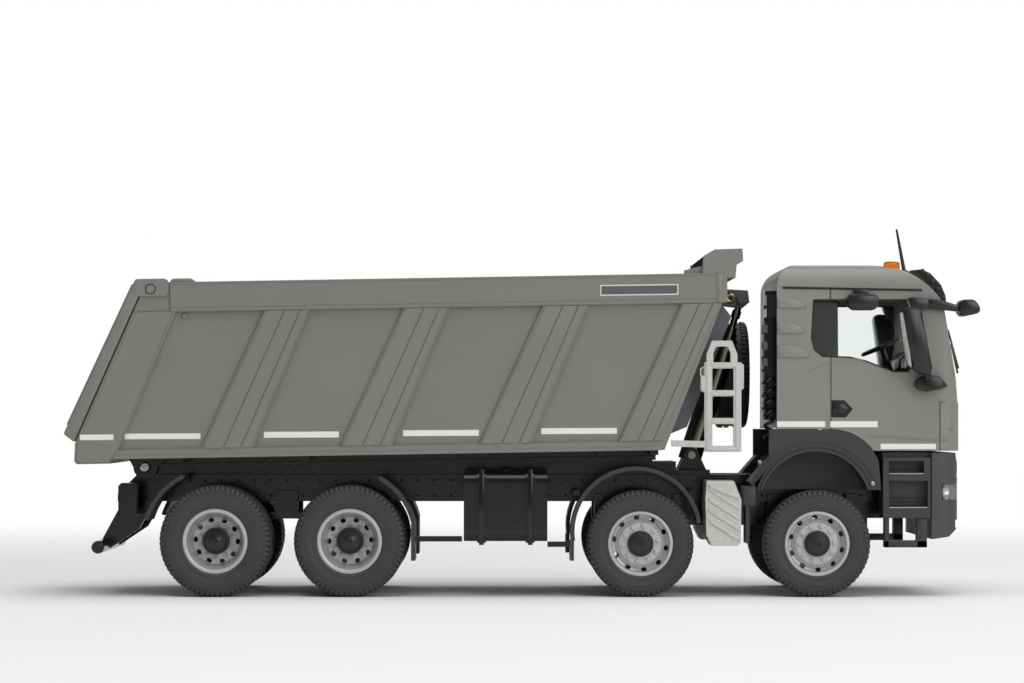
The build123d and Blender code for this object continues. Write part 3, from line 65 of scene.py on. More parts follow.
camera_data = bpy.data.cameras.new("table_camera")
camera_data.sensor_width = SENSOR_MM
camera_data.lens = FOCAL_PX * SENSOR_MM / PHOTO_W
camera_data.shift_x = (PHOTO_W / 2 - AXIS_PX[0]) / PHOTO_W
camera_data.shift_y = (AXIS_PX[1] - PHOTO_H / 2) / PHOTO_W
camera_data.clip_start = 0.01
camera = bpy.data.objects.new("table_camera", camera_data)
camera.location = CAMERA_AT
camera.rotation_euler = (pi / 2, 0, 0)
bpy.context.scene.collection.objects.link(camera)
bpy.context.scene.camera = camera
print(f"lens {camera_data.lens:.1f} mm, shift {camera_data.shift_x:.4f}, {camera_data.shift_y:.4f}")

# %% [markdown]
# Colours are written as sRGB hex values, as a paint chart gives them. The shader works in
# linear light, so one function turns the one into the other.
#
# Materials are built from nodes. One small function adds a node, sets it and links it, so
# that each finish below reads as a short recipe. It works on a material and on the world.


# %% Colour and node helpers
def paint(hex_colour):
    """Turns an sRGB hex value into linear RGBA."""
    channels = [int(hex_colour[i : i + 2], 16) / 255 for i in (1, 3, 5)]
    return (*(c / 12.92 if c <= 0.04045 else ((c + 0.055) / 1.055) ** 2.4 for c in channels), 1.0)


def join_inputs(node, inputs):
    """Links every socket that is given for an input, and sets any other value."""
    for name, value in inputs.items():
        if isinstance(value, bpy.types.NodeSocket):
            node.id_data.links.new(value, node.inputs[name])
        else:
            node.inputs[name].default_value = value
    return node


def add_node(owner, kind, settings=None, inputs=None):
    """Adds a node to a material or the world, with its settings and links."""
    node = owner.node_tree.nodes.new(kind)
    for name, value in (settings or {}).items():
        setattr(node, name, value)
    return join_inputs(node, inputs or {})


def new_material(name):
    """A material with its shader, and the object's own coordinates in metres."""
    material = bpy.data.materials.new(name)
    material.use_nodes = True
    place = add_node(material, "ShaderNodeTexCoord").outputs["Object"]
    return material, material.node_tree.nodes["Principled BSDF"], place


def per_mm(size):
    """The scale of a pattern whose features are that many millimetres across."""
    return 1 / (size * MM)


print("mid grey is", [round(c, 3) for c in paint("#808080")[:3]], "in linear light")

# %% [markdown]
# Shapes are made in millimetres, as the model maker measures them, and turned to metres at
# the end. A few small helpers make nearly everything: a slab cut from a side outline, a
# turned form as from a lathe, and a bar between two points. Since the truck has two sides,
# most of them draw each form on the right and on the left. One more reads places off the
# photograph: the camera is known, so a picture point on an upright plane at a known
# distance from the middle has one place in space.

# %% Mesh helpers
SIDES = (-1, 1)


def from_picture(points, depth):
    """Picture points as (x, z) in mm, on the upright plane that far right of the middle."""
    scale = (-CAMERA_AT.y / MM - depth) / FOCAL_PX
    x_axis, z_axis = CAMERA_AT.x / MM, CAMERA_AT.z / MM
    return [(x_axis + (px - AXIS_PX[0]) * scale, z_axis + (AXIS_PX[1] - py) * scale) for px, py in points]


def rectangle(x_low, x_high, z_low, z_high):
    return [(x_low, z_low), (x_high, z_low), (x_high, z_high), (x_low, z_high)]


def round_turns(count):
    """Evenly spaced angles of a whole turn."""
    return [2 * pi * i / count for i in range(count)]


def facing(x, y, z, toward):
    """A place whose local Z points along the given direction."""
    return Matrix.Translation((x, y, z)) @ Vector(toward).to_track_quat("Z", "Y").to_matrix().to_4x4()


def add_drawn(mesh, first, second):
    """Draws one outline through to another and closes both ends."""
    rings = [[mesh.verts.new(point) for point in outline] for outline in (first, second)]
    faces = [mesh.faces.new(ring) for ring in rings]
    for i in range(len(first)):
        j = (i + 1) % len(first)
        faces.append(mesh.faces.new((rings[0][i], rings[0][j], rings[1][j], rings[1][i])))
    return faces


def add_slab(mesh, outline, near, far, hands=SIDES, edge=0.0):
    """Draws an (x, z) outline through between two distances from the middle, on each side."""
    for hand in hands:
        ends = []
        for reach in (near, far):
            ends.append([(x, hand * (reach(z) if callable(reach) else reach), z) for x, z in outline])
        faces = add_drawn(mesh, *ends)
        if edge:
            edges = list({e for face in faces for e in face.edges})
            bmesh.ops.bevel(
                mesh, geom=edges, offset=edge, segments=2, profile=0.5, affect="EDGES", clamp_overlap=True
            )


def slabs(*rows):
    """A mesh of slabs from rows of: outline, near and far distance, hands, edge rounding."""
    mesh = bmesh.new()
    for row in rows:
        add_slab(mesh, *row)
    return mesh


def add_turned(mesh, profile, place, steps=48):
    """Turns a profile of (radius, height) about the local Z axis of a place."""
    rings = []
    for radius, height in profile:
        turns = round_turns(steps)[: 1 if radius == 0 else steps]
        rings.append([mesh.verts.new(place @ Vector((radius * cos(t), radius * sin(t), height))) for t in turns])
    for low, high in zip(rings, rings[1:]):
        for i in range(steps):
            j = (i + 1) % steps
            corners = [low[i % len(low)], low[j % len(low)], high[j % len(high)], high[i % len(high)]]
            corners = list(dict.fromkeys(corners))
            if len(corners) > 2:
                mesh.faces.new(corners)


def add_turned_pair(mesh, profile, x, y, z, steps, stretch=(1, 1)):
    """The same turned form on the right and on the left, facing outward."""
    for hand in SIDES:
        place = facing(x, hand * y, z, (0, hand, 0)) @ Matrix.Diagonal((*stretch, 1, 1))
        add_turned(mesh, profile, place, steps)


def add_bar(mesh, start, end, radius, end_radius=None, sides=12):
    """A round bar between two points, with closed ends."""
    start, end = Vector(start), Vector(end)
    turn = (end - start).to_track_quat("Z", "Y").to_matrix().to_4x4()
    length = (end - start).length
    profile = [(0, 0), (radius, 0), (end_radius or radius, length), (0, length)]
    add_turned(mesh, profile, Matrix.Translation(start) @ turn, sides)


def placed(piece, body):
    """Puts a new piece in the scene, on the body that it rides."""
    bpy.context.scene.collection.objects.link(piece)
    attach(piece, body)
    return piece


def dressed(name, mesh, finish, body="chassis", smooth_deg=35):
    """Turns a mesh in mm into a piece in metres with its finish, on the body it rides."""
    bmesh.ops.scale(mesh, vec=(MM, MM, MM), verts=mesh.verts)
    bmesh.ops.recalc_face_normals(mesh, faces=mesh.faces)
    data = bpy.data.meshes.new(name)
    mesh.to_mesh(data)
    mesh.free()
    data.shade_smooth()
    data.set_sharp_from_angle(angle=radians(smooth_deg))
    data.materials.append(finish)
    return placed(bpy.data.objects.new(name, data), body)


print("one picture point on the truck's side is", round((725 - 25) / FOCAL_PX, 3), "mm")

# %% [markdown]
# Some forms are easier to cut than to draw. For those the helpers make scratch objects in
# mm, join and cut them with boolean modifiers, and give back the finished mesh. The exact
# solver is slower than the fast one, but it keeps flat faces flat.


# %% Solid helpers
def solid(mesh):
    """A scratch object in mm for the boolean modifiers."""
    bmesh.ops.recalc_face_normals(mesh, faces=mesh.faces)
    data = bpy.data.meshes.new("scratch")
    mesh.to_mesh(data)
    mesh.free()
    thing = bpy.data.objects.new("scratch", data)
    bpy.context.scene.collection.objects.link(thing)
    return thing


def prism(outline, start, end, along):
    """An outline drawn through along X as (y, z), along Y as (x, z) or along Z as (x, y)."""
    axis = "XYZ".index(along)
    mesh = bmesh.new()
    add_drawn(mesh, *([(*p[:axis], depth, *p[axis:]) for p in outline] for depth in (start, end)))
    return solid(mesh)


def block(x, y, z):
    """A plain block between two values on each axis."""
    return prism(rectangle(*x, *y), *z, "Z")


def side_block(hand, x, y, z):
    """A block on one side, y from the middle outward."""
    return block(x, sorted((hand * y[0], hand * y[1])), z)


def side_blocks(x, y, z):
    """The same block on the right and on the left."""
    return [side_block(hand, x, y, z) for hand in SIDES]


def combined(base, *steps, weld=0.002):
    """Applies boolean steps (operation, tools) to a base solid and gives the mesh back."""
    scratch = [base]
    for operation, tools in steps:
        for tool in tools:
            step = base.modifiers.new(operation, "BOOLEAN")
            step.operation, step.object, step.solver = operation, tool, "EXACT"
            scratch.append(tool)
    bpy.context.view_layer.update()
    data = bpy.data.meshes.new_from_object(base.evaluated_get(bpy.context.evaluated_depsgraph_get()))
    mesh = bmesh.new()
    mesh.from_mesh(data)
    bpy.data.meshes.remove(data)
    for thing in scratch:
        bpy.data.objects.remove(thing)
    if weld:
        bmesh.ops.remove_doubles(mesh, verts=mesh.verts, dist=weld)
    return mesh


def gather(mesh, things):
    """Adds scratch objects to a mesh as they are, without joining them."""
    for thing in things:
        mesh.from_mesh(thing.data)
        bpy.data.objects.remove(thing)
    return mesh


def arc_points(start, middle, end, steps=10):
    """Points on the round arc through three points, both ends included."""
    (ax, ay), (bx, by), (cx, cy) = start, middle, end
    double_area = 2 * (ax * (by - cy) + bx * (cy - ay) + cx * (ay - by))
    a, b, c = ax**2 + ay**2, bx**2 + by**2, cx**2 + cy**2
    ox = (a * (by - cy) + b * (cy - ay) + c * (ay - by)) / double_area
    oy = (a * (cx - bx) + b * (ax - cx) + c * (bx - ax)) / double_area
    radius = ((ax - ox) ** 2 + (ay - oy) ** 2) ** 0.5
    first = atan2(ay - oy, ax - ox)
    to_middle = (atan2(by - oy, bx - ox) - first) % (2 * pi)
    to_end = (atan2(cy - oy, cx - ox) - first) % (2 * pi)
    span = to_end if to_middle < to_end else to_end - 2 * pi
    turns = [first + span * i / steps for i in range(steps + 1)]
    return [(ox + radius * cos(t), oy + radius * sin(t)) for t in turns]


print("a quarter round:", [(round(x, 2), round(y, 2)) for x, y in arc_points((1, 0), (0.707, 0.707), (0, 1), 2)])

# %% [markdown]
# Sprayed enamel on a zinc casting
#
# The cab, the body and the tailgate are zinc castings sprayed with a thick grey enamel.
# The paint lies as a soft film: it rounds every edge, pools a little in the corners and
# dries with a faint orange peel. The eye reads that from three things: edges that catch
# the light, a slow drift of tone, and a highlight that is broad and never sharp.
# The Bevel node gives the rounded edge to the highlights without changing the casting.


# %% Grey enamel
def grey_enamel(name, colours, roughness=0.42):
    """Tone drifts over 18 mm, the orange peel is 0.55 mm across, drawn coarse so that it shows."""
    material, shader, place = new_material(name)
    drift = add_node(material, "ShaderNodeTexNoise", inputs={"Vector": place, "Scale": per_mm(18), "Detail": 3})
    tones = {"Factor": drift.outputs["Fac"], "A": paint(colours[0]), "B": paint(colours[1])}
    tone = add_node(material, "ShaderNodeMix", {"data_type": "RGBA"}, tones)
    film = add_node(material, "ShaderNodeBevel", {"samples": 4}, {"Radius": 0.22 * MM})
    peel = add_node(material, "ShaderNodeTexNoise", inputs={"Vector": place, "Scale": per_mm(0.55), "Detail": 2})
    relief = {"Height": peel.outputs["Fac"], "Distance": 0.02 * MM, "Strength": 0.35}
    skin = add_node(material, "ShaderNodeBump", inputs={**relief, "Normal": film.outputs["Normal"]})
    join_inputs(shader, {"Base Color": tone.outputs["Result"], "Normal": skin.outputs["Normal"]})
    join_inputs(shader, {"Roughness": roughness, "IOR": 1.5})
    return material


GREY_ENAMEL = grey_enamel("grey_enamel_on_zinc", ("#787873", "#80807b"))
# The cab's grey is a lighter copy of the body's: painted light, for the brighter light on the cab.
CAB_ENAMEL_PAINTED_LIGHTER = grey_enamel("grey_enamel_cab_painted_lighter", ("#7e7f79", "#868781"))
# Dark grey enamel: the own colour of small parts, and painted shade on the body's front wall.
DARK_GREY_ENAMEL_AND_SHADE = grey_enamel("dark_grey_enamel_and_painted_shade", ("#55565a", "#5c5d61"), 0.5)
# Pad printed white: the same film, thin and dull
WHITE_PRINT = grey_enamel("white_pad_print", ("#e8e8e6", "#ebebe9"), 0.6)
print("enamels:", GREY_ENAMEL.name, CAB_ENAMEL_PAINTED_LIGHTER.name, DARK_GREY_ENAMEL_AND_SHADE.name, WHITE_PRINT.name)

# %% [markdown]
# Gloss black enamel and satin black plastic
#
# The frame, tanks and axles are gloss black: nearly all that shows is the reflection of
# the lamps on rounded edges. The arches, bumper, steps and mudguards are moulded in black
# plastic with a finely eroded mould surface, which scatters the light to a soft dark grey.


# %% Black finishes
def black_finish(name, colour, roughness, grain, depth, edge):
    """Grain, its depth and the rounding of the edges are in mm. Gloss drifts over 9 mm."""
    material, shader, place = new_material(name)
    film = add_node(material, "ShaderNodeBevel", {"samples": 4}, {"Radius": edge * MM})
    pattern = {"Vector": place, "Scale": per_mm(grain), "Detail": 2}
    texture = add_node(material, "ShaderNodeTexNoise", inputs=pattern)
    relief = {"Height": texture.outputs["Fac"], "Distance": depth * MM, "Strength": 0.5}
    skin = add_node(material, "ShaderNodeBump", inputs={**relief, "Normal": film.outputs["Normal"]})
    cloud = add_node(material, "ShaderNodeTexNoise", inputs={"Vector": place, "Scale": per_mm(9), "Detail": 3})
    gloss = {"Value": cloud.outputs["Fac"], "To Min": roughness * 0.85, "To Max": roughness * 1.2}
    sheen = add_node(material, "ShaderNodeMapRange", inputs=gloss)
    join_inputs(shader, {"Normal": skin.outputs["Normal"], "Roughness": sheen.outputs["Result"]})
    join_inputs(shader, {"Base Color": paint(colour), "IOR": 1.5})
    return material


BLACK_ENAMEL = black_finish("gloss_black_enamel", "#0b0b0b", 0.16, 0.9, 0.02, 0.15)
HUB_BLACK = black_finish("satin_black_enamel", "#191919", 0.32, 0.5, 0.01, 0.1)
BLACK_PLASTIC = black_finish("satin_black_plastic", "#333335", 0.5, 0.25, 0.02, 0.12)
# The bumper's plastic is a lighter copy of the satin black: painted sheen, for the brighter reflections on the bumper.
BUMPER_PLASTIC_PAINTED_SHEEN = black_finish("satin_bumper_plastic_painted_sheen", "#424243", 0.5, 0.25, 0.02, 0.12)
GLOSS_PLASTIC = black_finish("gloss_black_plastic", "#161617", 0.28, 0.6, 0.01, 0.15)
print("black finishes:", BLACK_ENAMEL.name, HUB_BLACK.name, BLACK_PLASTIC.name, GLOSS_PLASTIC.name)

# %% [markdown]
# Silver paint
#
# The rims, the ladder and the side box are plastic mouldings sprayed silver. Silver paint
# is small aluminium flakes in a clear binder, so it is part metal and part grey paint, and
# on the ladder the flakes lie coarse enough to glitter. Real flakes are a few hundredths of
# a millimetre across: here they are drawn 0.15 to 0.28 mm, so that they show.


# %% Silver paint
def silver_paint(name, dark, light, flake, roughness, metallic):
    """Each cell of the pattern is one flake, with its own tone and its own tilt."""
    material, shader, place = new_material(name)
    flakes = add_node(material, "ShaderNodeTexVoronoi", inputs={"Vector": place, "Scale": per_mm(flake)})
    spread = add_node(material, "ShaderNodeSeparateColor", inputs={"Color": flakes.outputs["Color"]})
    tones = {"Factor": spread.outputs["Red"], "A": paint(dark), "B": paint(light)}
    tone = add_node(material, "ShaderNodeMix", {"data_type": "RGBA"}, tones)
    film = add_node(material, "ShaderNodeBevel", {"samples": 4}, {"Radius": 0.12 * MM})
    relief = {"Height": spread.outputs["Green"], "Distance": 0.004 * MM, "Strength": 0.3}
    skin = add_node(material, "ShaderNodeBump", inputs={**relief, "Normal": film.outputs["Normal"]})
    join_inputs(shader, {"Base Color": tone.outputs["Result"], "Normal": skin.outputs["Normal"]})
    join_inputs(shader, {"Metallic": metallic, "Roughness": roughness})
    return material


SILVER_COARSE = silver_paint("coarse_silver_paint", "#bcbdb9", "#cbccc8", 0.28, 0.55, 0.15)
SILVER_SMOOTH = silver_paint("smooth_silver_paint", "#b6b7b4", "#cccdca", 0.2, 0.5, 0.2)
SILVER_FINE = silver_paint("fine_silver_paint", "#b2b2b1", "#c4c4c3", 0.15, 0.38, 0.35)
print("silver paints:", SILVER_COARSE.name, SILVER_SMOOTH.name, SILVER_FINE.name)

# %% [markdown]
# Soft vinyl tyres, plated steel, clear and amber styrene
#
# The tyres are soft vinyl, dull and slightly grey with dust. The cylinder's tubes are
# plated steel, rubbed to an uneven gloss. Windows, beacons and lamps are styrene, clear or
# tinted through. Their walls are thin sheets on a model, so the light is hardly bent: an
# IOR near 1 keeps the look through them straight.


# %% Tyres, steel and clear plastics
def vinyl_rubber():
    """Dust lies in 5 mm patches, the mould's grain is 0.3 mm."""
    material, shader, place = new_material("soft_black_vinyl")
    dust = add_node(material, "ShaderNodeTexNoise", inputs={"Vector": place, "Scale": per_mm(5), "Detail": 5})
    tones = {"Factor": dust.outputs["Fac"], "A": paint("#303030"), "B": paint("#3d3d3c")}
    tone = add_node(material, "ShaderNodeMix", {"data_type": "RGBA"}, tones)
    grain = add_node(material, "ShaderNodeTexNoise", inputs={"Vector": place, "Scale": per_mm(0.3), "Detail": 3})
    relief = {"Height": grain.outputs["Fac"], "Distance": 0.03 * MM, "Strength": 0.6}
    skin = add_node(material, "ShaderNodeBump", inputs=relief)
    join_inputs(shader, {"Base Color": tone.outputs["Result"], "Normal": skin.outputs["Normal"], "Roughness": 0.62})
    return material


def plated_steel(name, colour, roughness):
    """The rubbed patches are 1.5 mm across."""
    material, shader, place = new_material(name)
    rub = add_node(material, "ShaderNodeTexNoise", inputs={"Vector": place, "Scale": per_mm(1.5), "Detail": 4})
    gloss = {"Value": rub.outputs["Fac"], "To Min": roughness * 0.7, "To Max": roughness * 1.3}
    sheen = add_node(material, "ShaderNodeMapRange", inputs=gloss)
    join_inputs(shader, {"Roughness": sheen.outputs["Result"], "Base Color": paint(colour), "Metallic": 1})
    return material


def clear_plastic(name, colour, roughness, transmission):
    """A moulded sheet is never quite flat: its waves are 6 mm long."""
    material, shader, place = new_material(name)
    wave = add_node(material, "ShaderNodeTexNoise", inputs={"Vector": place, "Scale": per_mm(6), "Detail": 1})
    relief = {"Height": wave.outputs["Fac"], "Distance": 0.02 * MM, "Strength": 0.3}
    skin = add_node(material, "ShaderNodeBump", inputs=relief)
    join_inputs(shader, {"Normal": skin.outputs["Normal"], "Base Color": paint(colour), "IOR": 1.05})
    join_inputs(shader, {"Roughness": roughness, "Transmission Weight": transmission})
    return material


RUBBER = vinyl_rubber()
STEEL = plated_steel("plated_steel", "#8f8a7c", 0.22)
BRASS = plated_steel("nickelled_brass", "#b8a878", 0.3)
RIVET_STEEL = plated_steel("bright_rivet_steel", "#b9b8b2", 0.3)
WINDOW = clear_plastic("clear_styrene", "#f4f6f5", 0.03, 1.0)
AMBER = clear_plastic("amber_styrene", "#f08a1c", 0.12, 0.7)
LENS = clear_plastic("clear_lamp_styrene", "#f4f5f6", 0.05, 0.85)
print("finishes in all:", len(bpy.data.materials))

# %% [markdown]
# Each piece of the frame gets its finish by name. A short table covers the repeats, and
# what it doesn't name is gloss black, like the whole chassis.

# %% Finishes of the frame's pieces
FINISH_OF = [
    (RUBBER, ("tyre", "spare_tyre")),
    (SILVER_FINE, ("rim_", "spare_rim")),
    (GREY_ENAMEL, ("tipper_box", "tailgate", "front_guard", "cab_shell")),
    (WINDOW, ("cab_glass",)),
    (AMBER, ("beacons",)),
    (SILVER_COARSE, ("ladder", "side_boxes")),
    (STEEL, ("cylinder_",)),
    (GLOSS_PLASTIC, ("mirrors", "sun_visor", "antenna", "steering_wheel")),
    (BLACK_PLASTIC, ("wheel_arches", "cab_steps", "bumper", "cab_interior", "mudguards")),
]
for node_name, piece in nodes.items():
    finish = next((m for m, starts in FINISH_OF if node_name.startswith(starts)), BLACK_ENAMEL)
    piece.data.materials.clear()
    piece.data.materials.append(finish)
print("finished pieces:", len(nodes))

# %% [markdown]
# The front wall's painted shade
#
# The body is one casting. What stands in front of its front wall, the stiffener behind the
# ladder and the two plates that hold the cylinder's eye, gets a darker grey: painted shade,
# for the shade on these parts, set back behind the body's side. The faces are picked by
# where they lie, so the painted shade ends in the corner of the casting.

# %% Painted shade on the body's front wall
# The body leans forward a little. Its own plane has u along the floor and v up from it.
RAKE = radians(0.95)
BOX_FOOT_Z = 29.4
FRONT_FOOT_U, FRONT_HEAD_U, FRONT_HEAD_V = 28.75, 41.05, 29.75
CAP_T = 1.0


def raked(u, v):
    """A point of the body's own plane as (x, z)."""
    return u * cos(RAKE) - v * sin(RAKE), BOX_FOOT_Z + u * sin(RAKE) + v * cos(RAKE)


def raked_outline(points):
    return [raked(u, v) for u, v in points]


box = nodes["tipper_box"].data
box.materials.append(DARK_GREY_ENAMEL_AND_SHADE)
painted_shade_faces = 0
# The faces in front of the front wall get the dark grey: painted shade.
for face in box.polygons:
    x, y, z = face.center / MM
    u = x * cos(RAKE) + (z - BOX_FOOT_Z) * sin(RAKE)
    v = -x * sin(RAKE) + (z - BOX_FOOT_Z) * cos(RAKE)
    wall_u = FRONT_FOOT_U + (FRONT_HEAD_U - FRONT_FOOT_U) * min(v, FRONT_HEAD_V) / FRONT_HEAD_V
    on_wall = u > wall_u + 0.02 and abs(y) < 20.1 and 3 < v < FRONT_HEAD_V - 0.05
    on_bracket = u > wall_u + CAP_T + 0.05 and abs(y) < 3.3 and v > 25
    if on_wall or on_bracket:
        face.material_index = 1
        painted_shade_faces += 1
print("dark grey faces:", painted_shade_faces)

# %% [markdown]
# Tyres
#
# A model's truck tyre is one vinyl moulding. Seen from the side it has a thin bead ring,
# two fine rings that mark the sidewall, and a row of shoulder blocks whose gaps notch the
# outline. The profile is turned as on a lathe, and at every gap step the shoulder points
# drop inward, so the blocks are real geometry and also show against the floor.

# %% Tyres
STEPS_PER_LUG = 4
# Columns: share of the way from bead to tread, depth from the outer face, drop at a gap
SIDEWALL = [
    (0.000, 1.45, 0), (0.030, 0.90, 0), (0.060, 0.50, 0), (0.120, 0.34, 0), (0.140, 0.22, 0), (0.190, 0.18, 0),
    (0.205, 0.26, 0), (0.400, 0.06, 0), (0.470, 0.04, 0), (0.480, 0.00, 0), (0.505, 0.00, 0), (0.515, 0.07, 0),
    (0.660, 0.12, 0), (0.668, 0.06, 0), (0.690, 0.06, 0), (0.698, 0.15, 0), (0.760, 0.22, 0),
]
SHOULDER = [
    (0.775, 0.13, 0.14), (0.860, 0.22, 0.20), (0.930, 0.42, 0.30), (0.980, 0.72, 0.38), (1.000, 1.15, 0.42),
    (1.000, 1.65, 0.42),
]
RIBS = [(0.925, 1.75, 0), (0.925, 2.05, 0), (1.000, 2.15, 0), (1.000, 2.95, 0), (0.925, 3.05, 0)]
BEAD_R, GAP_INSET = 6.35, 0.12


def add_tyre(mesh, place, radius, width, start, lugs):
    """One tyre, its outer face that far in along the place's axis."""
    rows = SIDEWALL + SHOULDER + RIBS
    half = [(BEAD_R + share * (radius - BEAD_R), depth, drop) for share, depth, drop in rows]
    turns = round_turns(lugs * STEPS_PER_LUG)
    loops = []
    for r, depth, drop in half + [(r, width - depth, drop) for r, depth, drop in reversed(half)]:
        inset = copysign(GAP_INSET, width / 2 - depth) if drop else 0
        loops.append([])
        for i, turn in enumerate(turns):
            r_here, depth_here = (r, depth) if i % STEPS_PER_LUG else (r - drop, depth + inset)
            point = Vector((r_here * cos(turn), r_here * sin(turn), -start - depth_here))
            loops[-1].append(mesh.verts.new(place @ point))
    for first, second in zip(loops, loops[1:] + loops[:1]):
        for i in range(len(turns)):
            j = (i + 1) % len(turns)
            mesh.faces.new((first[i], first[j], second[j], second[i]))


WHEEL_X = {"axle_1": 59.8, "axle_2": 23.9, "axle_3": -35.2, "axle_4": -62.5}
TWIN_AXLES = ("axle_3", "axle_4")
WHEEL_FACE = 25.0
FRONT_R, FRONT_W, FRONT_LUGS = 10.85, 7.0, 60
TWIN_R, TWIN_W, TWIN_PITCH, TWIN_LUGS = 11.35, 6.3, 7.1, 64
HANDS = (("right", -1), ("left", 1))


def wheel_place(axle, hand):
    """The middle of a wheel's outer face, with Z pointing outward."""
    return facing(WHEEL_X[axle], hand * WHEEL_FACE, TWIN_R if axle in TWIN_AXLES else FRONT_R, (0, hand, 0))


for axle in WHEEL_X:
    for side_name, hand in HANDS:
        mesh = bmesh.new()
        if axle in TWIN_AXLES:
            for start in (0, TWIN_PITCH):
                add_tyre(mesh, wheel_place(axle, hand), TWIN_R, TWIN_W, start, TWIN_LUGS)
        else:
            add_tyre(mesh, wheel_place(axle, hand), FRONT_R, FRONT_W, 0, FRONT_LUGS)
        node = f"{'tyres' if axle in TWIN_AXLES else 'tyre'}_{axle}_{side_name}"
        piece = dressed(f"vinyl_{node}", mesh, RUBBER, f"wheel_{axle}_{side_name}", 28)
        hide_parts(node)

SPARE_AT = (48.3, 14.05, 45.6)
mesh = bmesh.new()
add_tyre(mesh, facing(*SPARE_AT, (1, 0, 0)), TWIN_R, FRONT_W, 0, TWIN_LUGS)
piece = dressed("vinyl_spare_tyre", mesh, RUBBER, "tipper", 28)
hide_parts("spare_tyre")
print("tyres: 12 and a spare, lugs:", FRONT_LUGS, TWIN_LUGS)

# %% [markdown]
# Rims
#
# Each rim is a silver plastic moulding: a bright flat lip, a well, and a disc with ten oval
# hand holes and ten round wheel nuts that stand between the holes. The front disc is
# domed outward and its nuts stand on a lobed boss, the rear disc lies deep inside. Each
# kind is turned and drilled once and copied to its wheels, turned by a different angle,
# because no two wheels stop alike. A boolean modifier does the drilling, and is applied.

# %% Rims
# Profiles from the middle of the outer face round to the middle of the inner one
FRONT_RIM = [
    (0, -1.3), (2.62, -1.3), (2.66, -1.22), (2.86, -1.22), (2.95, -1.5), (4.25, -1.55), (4.32, -1.68),
    (4.75, -1.9), (5.0, -2.2), (5.3, -2.42), (5.6, -2.3), (5.8, -1.9), (5.88, -1.2), (5.93, -0.72),
    (6.05, -0.6), (6.45, -0.56), (6.62, -0.64), (6.65, -0.9), (6.3, -1.5), (6.3, -5.5), (6.65, -6.1),
    (6.6, -6.35), (6.0, -6.35), (5.9, -3.5), (2.0, -3.5), (2.0, -5.6), (0, -5.6),
]
REAR_RIM = [
    (0, -5.0), (2.75, -5.0), (3.0, -4.98), (4.75, -5.05), (4.98, -4.75), (5.1, -4.1), (5.3, -3.2),
    (5.5, -2.2), (5.62, -1.5), (5.8, -0.9), (5.86, -0.7), (6.0, -0.6), (6.45, -0.56), (6.62, -0.64),
    (6.65, -0.9), (6.3, -1.5), (6.3, -12.0), (6.65, -12.6), (6.6, -12.85), (6.0, -12.85), (5.9, -6.3),
    (2.2, -6.2), (2.2, -11.2), (0, -11.2),
]
NUTS, HOLE_TURN, HOLE_RADII = 10, radians(18), (0.46, 0.575)


def around(radius, count, phase=0.0):
    """Places evenly spaced on a circle about the local Z axis."""
    turns = [turn + phase for turn in round_turns(count)]
    return [Matrix.Rotation(turn, 4, "Z") @ Matrix.Translation((radius, 0, 0)) for turn in turns]


def add_nuts(mesh, ring_r, seat, collar):
    """Ten nuts, each with a domed pin and, on the front, a round collar."""
    nut = [(0, seat - 0.3), (0.34, seat - 0.3), (0.34, seat + 0.3), (0.24, seat + 0.42), (0, seat + 0.44)]
    for turn in round_turns(NUTS):
        place = Matrix.Translation((ring_r * cos(turn), ring_r * sin(turn), 0))
        add_turned(mesh, nut, place, 12)
        if collar:
            ring = [(0, seat - 0.2), (collar, seat - 0.2), (collar, seat), (collar - 0.08, seat + 0.05), (0, seat + 0.05)]
            add_turned(mesh, ring, place, 16)


def add_lobed_boss(mesh, inner, lobe_at, lobe_r, low, high, steps=240):
    """A flat boss round the hub whose edge bulges round every nut."""
    outline = []
    for turn in round_turns(steps):
        off = (turn + pi / NUTS) % (2 * pi / NUTS) - pi / NUTS
        reach = lobe_r**2 - (lobe_at * sin(off)) ** 2
        r = max(inner, lobe_at * cos(off) + reach**0.5) if reach > 0 else inner
        outline.append((r * cos(turn), r * sin(turn)))
    add_drawn(mesh, *([(x, y, z) for x, y in outline] for z in (low, high)))


def drilled_rim(profile, hole_r, hole_low):
    """A turned rim with ten oval holes, in mm."""
    blank, drill = bmesh.new(), bmesh.new()
    add_turned(blank, profile, Matrix(), 120)
    for place in around(hole_r, NUTS, HOLE_TURN):
        oval = place @ Matrix.Diagonal((*HOLE_RADII, 1, 1))
        add_turned(drill, [(0, hole_low), (1, hole_low), (1, -0.9), (0, -0.9)], oval, 20)
    return combined(solid(blank), ("DIFFERENCE", [solid(drill)]), weld=0)


front_blank, rear_blank = drilled_rim(FRONT_RIM, 5.33, -4.4), drilled_rim(REAR_RIM, 4.3, -7.0)
print("rims drilled, faces:", len(front_blank.faces), len(rear_blank.faces))

# %% [markdown]
# Hubs
#
# The front hub has a black stepped cover with a rim of bolts and a ringed dimple. The rear
# hub is a drum that reaches out of the deep well and ends in a bolted cover. Both are
# turned, and the bolts are small six-sided turned forms.

# %% Rims and hubs on the wheels
FRONT_HUB = [
    (0, -1.3), (2.58, -1.3), (2.58, -0.85), (2.42, -0.7), (2.1, -0.66), (1.95, -0.5), (1.0, -0.38),
    (0.75, -0.36), (0.7, -0.28), (0.52, -0.28), (0.46, -0.42), (0, -0.46),
]
REAR_HUB = [
    (0, -5.3), (2.75, -5.3), (2.75, -2.5), (2.62, -2.35), (2.38, -2.35), (2.3, -2.55), (2.1, -2.55),
    (2.02, -2.3), (0.6, -2.2), (0.5, -2.12), (0.3, -2.12), (0.22, -2.3), (0, -2.32),
]
# Columns: cover, number of bolts, their circle and height, bolt's radius, shoulder and top
FRONT_COVER = (FRONT_HUB, 12, 2.28, -0.72, 0.16, 0.12, 0.16)
REAR_COVER = (REAR_HUB, 10, 1.55, -2.28, 0.15, 0.1, 0.13)
